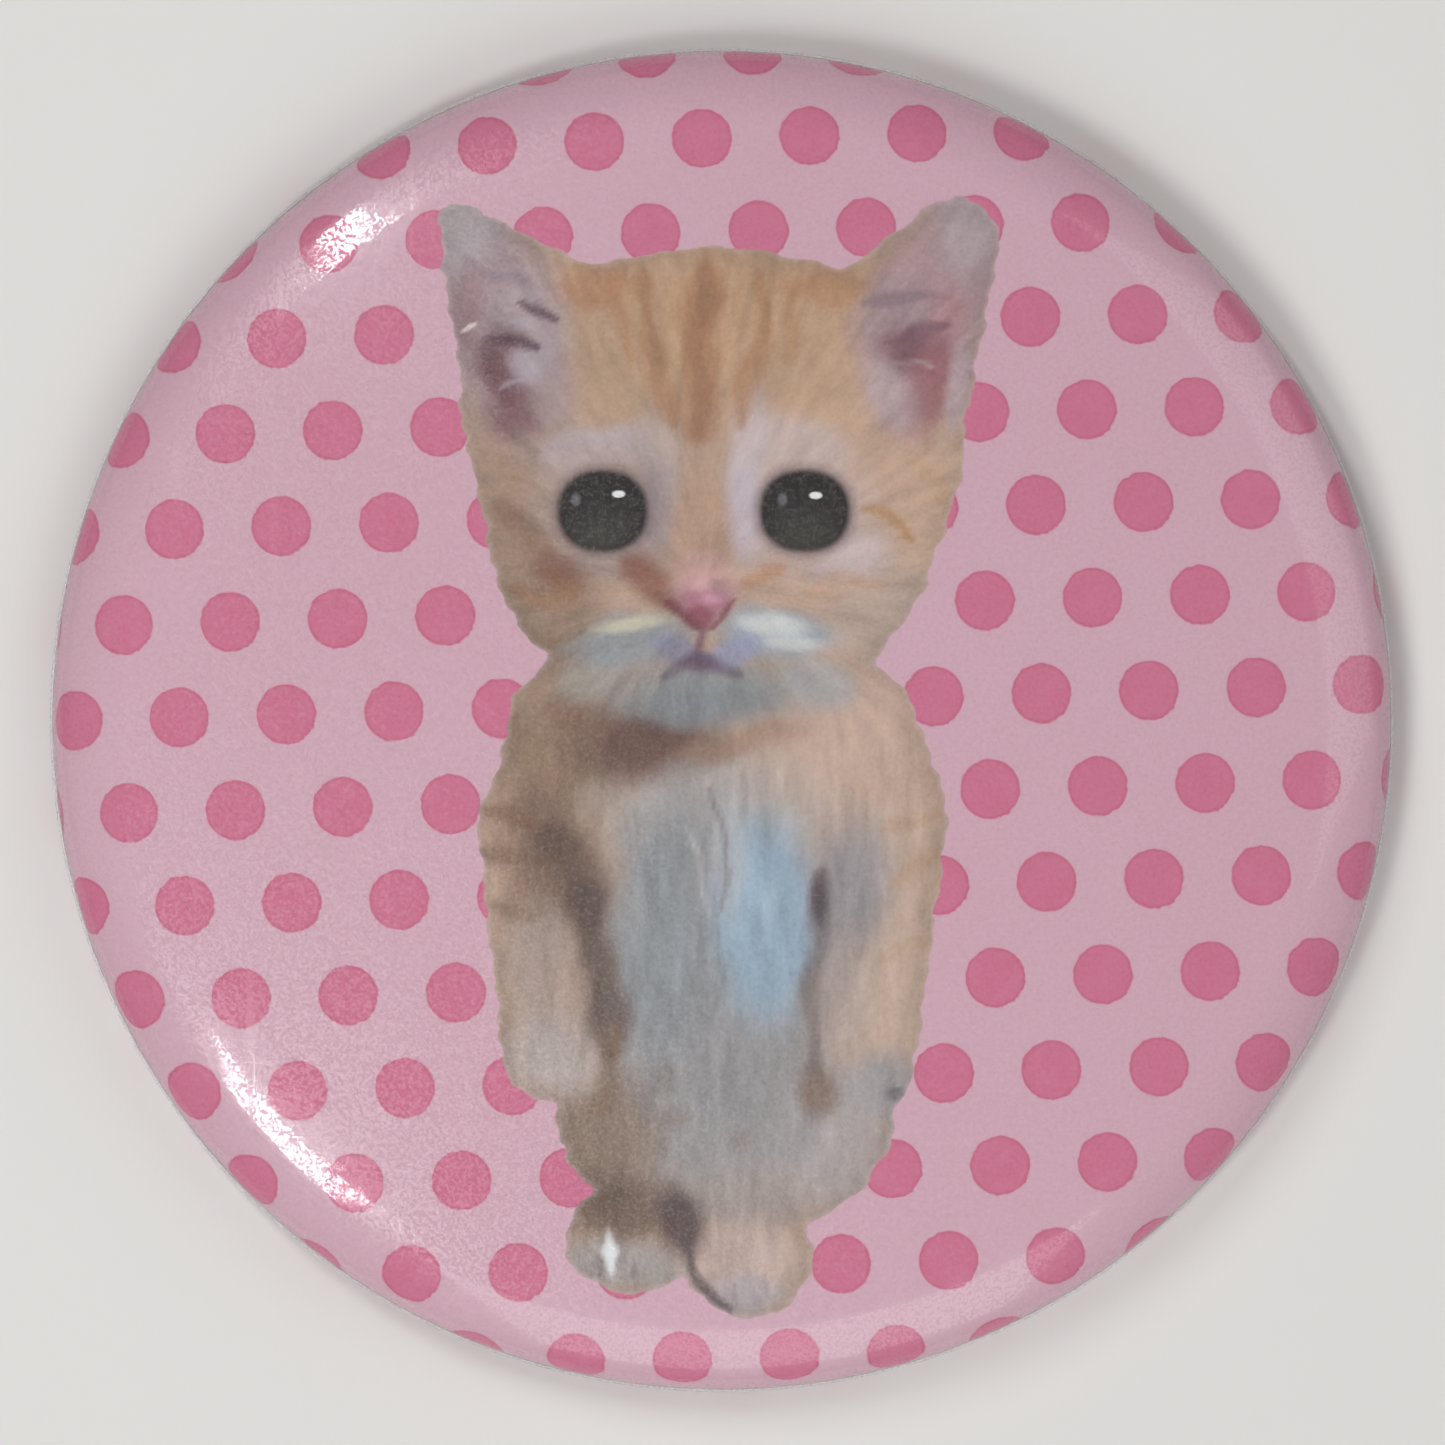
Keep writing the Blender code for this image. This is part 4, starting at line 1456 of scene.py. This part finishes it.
@dataclass
class BackPlate:
    """The dished tinplate back with its pressed-out catch and straps and the hole for the wire's foot."""

    gauges: Gauges
    well: float = 20.5 * MM
    slope: float = math.radians(50.0)
    bend: float = 0.9 * MM
    play: float = 0.25 * MM
    steps: int = 256
    tab: float = 0.20 * MM
    tab_bend: float = 0.35 * MM
    footing: float = 0.5 * MM
    slit: float = 0.2 * MM
    window_span: Point = (-0.3 * MM, 0.6 * MM)
    tab_rounding: float = 0.045 * MM
    middle_share: float = 0.97
    catch_x: float = 14.0 * MM
    catch_width: float = 3.0 * MM
    catch_room: float = 0.25 * MM
    catch_lip: float = 1.1 * MM
    catch_flare: Point = (0.5 * MM, 0.4)
    tilt: float = math.radians(25.0)
    strap_x: tuple[float, float] = (-9.0 * MM, 3.0 * MM)
    strap_width: float = 2.6 * MM
    strap_room: float = 0.10 * MM
    strap_slope: float = math.radians(45.0)
    hole_room: float = 0.2 * MM
    hole_depth: float = 1.2 * MM
    sharp: float = math.radians(34)

    def section(self) -> Section:
        """The plate's inner face, from its middle to its flange's edge."""
        g = self.gauges
        depth, thick = g.floor_height - g.flange_height, g.plate
        outer = self.bend + thick
        straight = (depth - (outer + self.bend) * (1 - math.cos(self.slope))) / math.sin(self.slope)
        edge = g.radius - g.shell_depth - g.shell - self.play
        path = Section.starting(0.0, g.floor_height + thick)
        path.line(self.middle_share * self.well - outer * math.tan(self.slope / 2), 3)
        path.line((1 - self.middle_share) * self.well)
        path.bend(outer, self.slope, 8).line(straight, 2).bend(self.bend, 0.0, 8)
        return path.line(edge - path.out[-1], 4)

    def root(self) -> float:
        """Height of the middle of the plate's thickness in its floor."""
        return self.gauges.floor_height + self.gauges.plate / 2

    def build(self, finish: bpy.types.Material) -> bpy.types.Object:
        """The plate with everything pressed out of it.

        Args:
            finish: Its material.

        Returns:
            The piece.
        """
        thick = self.gauges.plate
        outline = self.section().outline(0.0, thick)
        plate = place("back_plate_pressing", turned("back_plate_pressing", outline, self.steps), finish)
        helpers = self.catch() + self.straps() + [self.foot_hole()]
        for helper, operation in helpers:
            step = plate.modifiers.new(helper.name, "BOOLEAN")
            step.operation = operation
            step.object = helper
        settle(plate)
        for helper, _ in helpers:
            bpy.data.objects.remove(helper, do_unlink=True)
        plate.data.materials.clear()
        plate.data.materials.append(finish)
        plate.data.shade_smooth()
        plate.data.set_sharp_from_angle(angle=self.sharp)
        return attach(plate, Body.BADGE, Slot.PLATE, Node.PLATE)

    @staticmethod
    def extruded(name: str, outline: Sequence[Point], middle: float, width: float,
                 rounding: float = 0.0) -> bpy.types.Object:
        """A closed outline drawn out along X.

        Args:
            name: The object's name.
            outline: Its (y, z) points.
            middle: Where the middle of its width lies.
            width: How far it is drawn out.
            rounding: Size of the bevel along its edges.

        Returns:
            The object.
        """
        shape = bmesh.new()
        flat = shape.faces.new([shape.verts.new((middle - width / 2, y, z)) for y, z in outline])
        made = bmesh.ops.extrude_face_region(shape, geom=[flat])
        moved = [v for v in made["geom"] if isinstance(v, bmesh.types.BMVert)]
        bmesh.ops.translate(shape, vec=(width, 0, 0), verts=moved)
        bmesh.ops.recalc_face_normals(shape, faces=shape.faces)
        if rounding:
            ends = [e for e in shape.edges if e.calc_face_angle(0.0) > math.radians(60)]
            bmesh.ops.bevel(shape, geom=ends, offset=rounding, segments=2, profile=0.5, affect="EDGES")
        return place(name, plain_mesh(name, shape))

    def tab_pair(self, name: str, path: Section, window: Point, middle: float, width: float) -> list[Step]:
        """A tab pressed out of the plate.

        Args:
            name: Start of the two helpers' names.
            path: Middle of the tab's thickness.
            window: Where its window starts and ends along Y.
            middle: Where the middle of its width lies.
            width: Its width.

        Returns:
            The window cut in the plate, and the tab.
        """
        low, high = (self.gauges.floor_height + level for level in self.window_span)
        outline = [(window[0], low), (window[1], low), (window[1], high), (window[0], high)]
        cutter = self.extruded(name + "_window", outline, middle, width + 2 * self.slit)
        tab = self.extruded(name + "_tab", path.outline(-self.tab / 2, self.tab / 2), middle, width,
                            self.tab_rounding)
        return [(cutter, "DIFFERENCE"), (tab, "UNION")]

    def catch(self) -> list[Step]:
        """The catch's window and its riser and lip, open towards +Y."""
        needle = self.gauges.needle_height
        reach = self.gauges.wire + self.catch_room + self.tab / 2
        start = self.gauges.spring - reach - self.tab_bend
        drop = self.root() - self.tab_bend - needle
        path = Section.starting(start - self.footing, self.root()).line(self.footing)
        path.bend(self.tab_bend, QUARTER_TURN, 8).line(drop, 2).bend(reach, self.tilt, 14)
        path.line(self.catch_lip * 0.8, 2).bend(self.catch_flare[0], self.tilt + self.catch_flare[1], 3)
        turns = self.tab_bend * QUARTER_TURN + reach * (QUARTER_TURN - self.tilt)
        window = (start, start + turns + drop + self.catch_lip)
        return self.tab_pair("catch", path, window, self.catch_x, self.catch_width)

    def straps(self) -> list[Step]:
        """The windows and bridges of the straps over the wire's leg."""
        reach = self.gauges.wire + self.strap_room + self.tab / 2
        drop = self.root() - self.gauges.leg_height + reach
        turn, slope = math.tan(self.strap_slope / 2), self.strap_slope
        ramp = (drop - 2 * self.tab_bend * (1 - math.cos(slope))) / math.sin(slope)
        half = reach + drop / math.tan(slope) + self.tab_bend * turn
        start = -self.gauges.spring - half
        path = Section.starting(start - self.footing, self.root()).line(self.footing)
        path.bend(self.tab_bend, slope, 5).line(ramp).bend(self.tab_bend, 0.0, 5)
        path.line(2 * (reach - self.tab_bend * turn), 2).bend(self.tab_bend, -slope, 5).line(ramp)
        path.bend(self.tab_bend, 0.0, 5).line(self.footing)
        made = []
        for number, middle in enumerate(self.strap_x, start=1):
            window = (start, start + 2 * half)
            made += self.tab_pair(f"strap_{number}", path, window, middle, self.strap_width)
        return made

    def foot_hole(self) -> Step:
        """The oval hole for the wire's turned-up end."""
        radius = self.gauges.wire + self.hole_room
        half = (self.gauges.foot_bend + radius) / 2
        shape = bmesh.new()
        bmesh.ops.create_cone(shape, cap_ends=True, segments=40, radius1=1.0, radius2=1.0,
                              depth=self.hole_depth)
        bmesh.ops.scale(shape, vec=(half, radius, 1.0), verts=shape.verts)
        middle = (self.gauges.leg_end + radius - half, -self.gauges.spring, self.gauges.floor_height)
        bmesh.ops.translate(shape, vec=middle, verts=shape.verts)
        return place("foot_hole", plain_mesh("foot_hole", shape)), "DIFFERENCE"


class GeometryGraph(Tree):
    """A geometry node tree with named inputs for its sizes."""

    def __init__(self, name: str) -> None:
        """Starts an empty tree with a mesh in and a mesh out."""
        self.tree = bpy.data.node_groups.new(name, "GeometryNodeTree")
        for way in ("INPUT", "OUTPUT"):
            self.tree.interface.new_socket("Geometry", in_out=way, socket_type="NodeSocketGeometry")
        self.given: dict[str, Any] = {}
        self.entry = self.tree.nodes.new("NodeGroupInput")
        self.exit = self.tree.nodes.new("NodeGroupOutput")

    def size(self, name: str, value: Any, kind: str = "NodeSocketFloat") -> Value:
        """Adds a named input.

        Args:
            name: Its name.
            value: What it is set to.
            kind: Its socket's type.

        Returns:
            The input.
        """
        socket = self.tree.interface.new_socket(name, in_out="INPUT", socket_type=kind)
        self.given[socket.identifier] = value
        return Value(self, self.entry.outputs[name])

    def finish(self, geometry: bpy.types.NodeSocket, material: bpy.types.Material) -> None:
        """Ends the tree in Realize Instances and Set Material.

        Args:
            geometry: What the tree has made.
            material: Its material.
        """
        real = self.node("GeometryNodeRealizeInstances", None, {"Geometry": geometry})
        dressed = self.node("GeometryNodeSetMaterial", None, {
            "Geometry": real.outputs[0], "Material": material})
        self.tree.links.new(dressed.outputs[0], self.exit.inputs[0])

    def run_on(self, piece: bpy.types.Object) -> bpy.types.Object:
        """Runs the tree on a piece with the named inputs set by identifier, and keeps the plain mesh.

        Args:
            piece: An object of the mesh that goes in.

        Returns:
            The same object with the mesh that comes out.
        """
        step = piece.modifiers.new(self.tree.name, "NODES")
        step.node_group = self.tree
        for identifier, value in self.given.items():
            step[identifier] = value
        return settle(piece)


@dataclass
class PinWire:
    """The pin: foot, leg, U-shaped spring bend and needle, all one wire."""

    gauges: Gauges
    bend_x: float = -14.5 * MM
    foot_top: float = 0.5 * MM
    foot_straight: float = 0.1 * MM
    foot_rounding: float = 0.15 * MM
    foot_end: float = 0.72
    tip_x: float = 17.0 * MM
    point: float = 4.0 * MM
    point_width: float = 0.03 * MM
    point_fullness: float = 0.62
    blend_margin: float = 0.4 * MM
    sides: int = 32

    def route(self) -> Array:
        """The wire's middle line, from the foot to the needle's tip."""
        g, bend = self.gauges, self.gauges.foot_bend
        low, high, foot = g.leg_height, g.needle_height, g.floor_height + g.plate + self.foot_top
        points = [(g.leg_end, -g.spring, h) for h in np.linspace(foot, low + bend + self.foot_straight, 3)]
        for angle in np.linspace(0, QUARTER_TURN, 10):
            points.append((g.leg_end - bend * (1 - math.cos(angle)), -g.spring,
                           low + bend * (1 - math.sin(angle))))
        points += [(x, -g.spring, low) for x in np.linspace(g.leg_end - bend, self.bend_x, 24)[1:-1]]
        for angle in np.linspace(0, HALF_TURN, 40):
            eased = (1 - math.cos(angle)) / 2
            points.append((self.bend_x - g.spring * math.sin(angle), -g.spring * math.cos(angle),
                           low + (high - low) * eased))
        shank = self.tip_x - self.point
        for start, end, count in ((self.bend_x, shank, 26), (shank, self.tip_x, 16)):
            points += [(x, g.spring, high) for x in np.linspace(start, end, count)[1:]]
        return np.array(points)

    def build(self, finish: bpy.types.Material) -> bpy.types.Object:
        """The wire, drawn along its route and ground to a point.

        Args:
            finish: Its material.

        Returns:
            The piece.
        """
        route = self.route()
        mesh = bpy.data.meshes.new("pin_wire")
        mesh.from_pydata(route.tolist(), [(i, i + 1) for i in range(len(route) - 1)], [])
        piece = place("pin_wire", mesh)
        tree = GeometryGraph("drawn_wire")
        radius = tree.size("Wire radius", self.gauges.wire)
        tip = tree.size("Point length", self.point)
        fine = tree.size("Point radius", self.point_width)
        sides = tree.size("Sides", self.sides, "NodeSocketInt")
        curve = tree.node("GeometryNodeMeshToCurve", None, {"Mesh": tree.entry.outputs["Geometry"]})
        along = Value(tree, tree.node("GeometryNodeSplineParameter").outputs["Length"])
        whole = Value(tree, tree.node("GeometryNodeSplineLength").outputs["Length"])
        share = ((whole - along) / tip).apply("MINIMUM", 1.0)
        reach = (share**self.point_fullness * radius).apply("MAXIMUM", fine)
        foot = (along / self.foot_rounding + self.foot_end).apply("MINIMUM", 1.0)
        width = reach * foot
        unit = tree.node("GeometryNodeCurvePrimitiveCircle", None, {"Resolution": sides, "Radius": 1.0})
        tube = tree.node("GeometryNodeCurveToMesh", None, {
            "Curve": curve.outputs[0], "Profile Curve": unit.outputs[0], "Scale": width, "Fill Caps": True})
        smooth_tube = tree.node("GeometryNodeSetShadeSmooth", None, {"Geometry": tube.outputs[0]})
        tree.finish(smooth_tube.outputs[0], finish)
        tree.run_on(piece)
        self.face_out(piece.data)
        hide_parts(Node.LEG.value, Node.NEEDLE.value)
        x, z = self.bend_x - self.gauges.spring, (self.gauges.leg_height + self.gauges.needle_height) / 2
        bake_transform(piece)
        LOG.info("%s: %d faces", piece.name, len(piece.data.polygons))
        return piece

    @staticmethod
    def face_out(mesh: bpy.types.Mesh) -> None:
        """Merges the caps' seams and makes every face point outwards.

        Args:
            mesh: The wire's mesh.
        """
        shape = bmesh.new()
        shape.from_mesh(mesh)
        bmesh.ops.remove_doubles(shape, verts=shape.verts, dist=0.0005 * MM)
        bmesh.ops.recalc_face_normals(shape, faces=shape.faces)
        shape.to_mesh(mesh)
        shape.free()
        mesh.set_sharp_from_angle(angle=math.radians(50))


@dataclass(frozen=True)
class Lamp:
    """A soft area lamp aimed at the badge, its long side square to its azimuth. Angles are in degrees."""

    name: str
    azimuth: float
    slant: float
    distance: float
    size: Point
    power: float

    def light(self) -> None:
        """Adds the lamp to the scene."""
        data = bpy.data.lights.new(self.name, "AREA")
        data.shape = "RECTANGLE"
        data.size, data.size_y = self.size
        data.energy = self.power
        lamp = bpy.data.objects.new(self.name, data)
        a, s = math.radians(self.azimuth), math.radians(self.slant)
        aim = Vector((math.sin(s) * math.cos(a), math.sin(s) * math.sin(a), math.cos(s)))
        lamp.location = aim * self.distance
        lamp.rotation_euler = (s, 0.0, a + QUARTER_TURN)
        bpy.context.scene.collection.objects.link(lamp)


@dataclass
class Studio:
    """Pale floor, soft lights and a camera straight above the badge."""

    camera_height: float = 0.42
    focus_height: float = 0.003
    frame_width: float = 62.2 * MM
    aim: tuple[float, float] = (0.03 * MM, -0.10 * MM)
    floor_width: float = 1.6
    world: float = 0.150
    sky: Colour = (1.0, 0.99, 0.98)
    lamps: tuple[Lamp, ...] = (
        Lamp("window_upper_left", 127.7, 36.5, 0.50, (0.031, 0.24), 0.60),
        Lamp("window_lower_left", 223.5, 30.3, 0.50, (0.078, 0.145), 0.70),
        Lamp("soft_right", 20.0, 48.0, 0.80, (0.60, 0.60), 1.35),
        Lamp("soft_left", 175.0, 55.0, 0.80, (0.50, 0.50), 0.20),
        Lamp("soft_below", 275.0, 50.0, 0.80, (0.60, 0.50), 2.0),
    )

    def build(self) -> None:
        """Everything round the badge."""
        self.floor()
        self.camera()
        for lamp in self.lamps:
            lamp.light()
        sky = bpy.data.worlds.new("soft_room")
        sky.use_nodes = True
        background = sky.node_tree.nodes["Background"]
        background.inputs["Color"].default_value = (*self.sky, 1.0)
        background.inputs["Strength"].default_value = self.world
        bpy.context.scene.world = sky
        bpy.context.scene.view_settings.view_transform = "Standard"

    def floor(self) -> None:
        """The floor that the badge lies on."""
        half = self.floor_width / 2
        points = np.array([(-half, -half, 0), (half, -half, 0), (half, half, 0), (-half, half, 0)])
        floor = place("studio_floor", new_mesh("studio_floor", points, [(0, 1, 2, 3)]), FloorFinish().build())

    def camera(self) -> None:
        """The camera, straight above, with +Y up."""
        data = bpy.data.cameras.new("above")
        data.sensor_width = 36.0
        data.clip_start = 0.01
        data.lens = data.sensor_width * (self.camera_height - self.focus_height) / self.frame_width
        camera = bpy.data.objects.new("above", data)
        camera.location = (*self.aim, self.camera_height)
        bpy.context.scene.collection.objects.link(camera)
        bpy.context.scene.camera = camera


def main() -> None:
    """Builds the badge and its studio."""
    logging.basicConfig(level=logging.INFO, format="%(name)s: %(message)s")
    gauges = Gauges()
    tin = {"colour": (0.74, 0.73, 0.70), "stained": (0.56, 0.54, 0.50)}
    plate = MetalFinish("plate_tinplate", roughness=0.30, line_scale=(45.0, 3800.0, 900.0), **tin)
    shell = MetalFinish("shell_tinplate", roughness=0.38, line_scale=(3200.0, 60.0, 900.0), **tin)
    wire = MetalFinish("nickel_wire", (0.72, 0.71, 0.69), (0.50, 0.48, 0.45), 0.22, (160.0, 5200.0, 5200.0))

    skins = FaceSkins(gauges, Kitten())
    skins.paper(PrintFinish().build())
    skins.film(FilmFinish().build())
    BackPlate(gauges).build(plate.build())
    PinWire(gauges).build(wire.build())
    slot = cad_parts[Node.SHELL.value].material_slots[0]
    slot.link, slot.material = "OBJECT", shell.build()
    Studio().build()


if __name__ == "__main__":
    main()
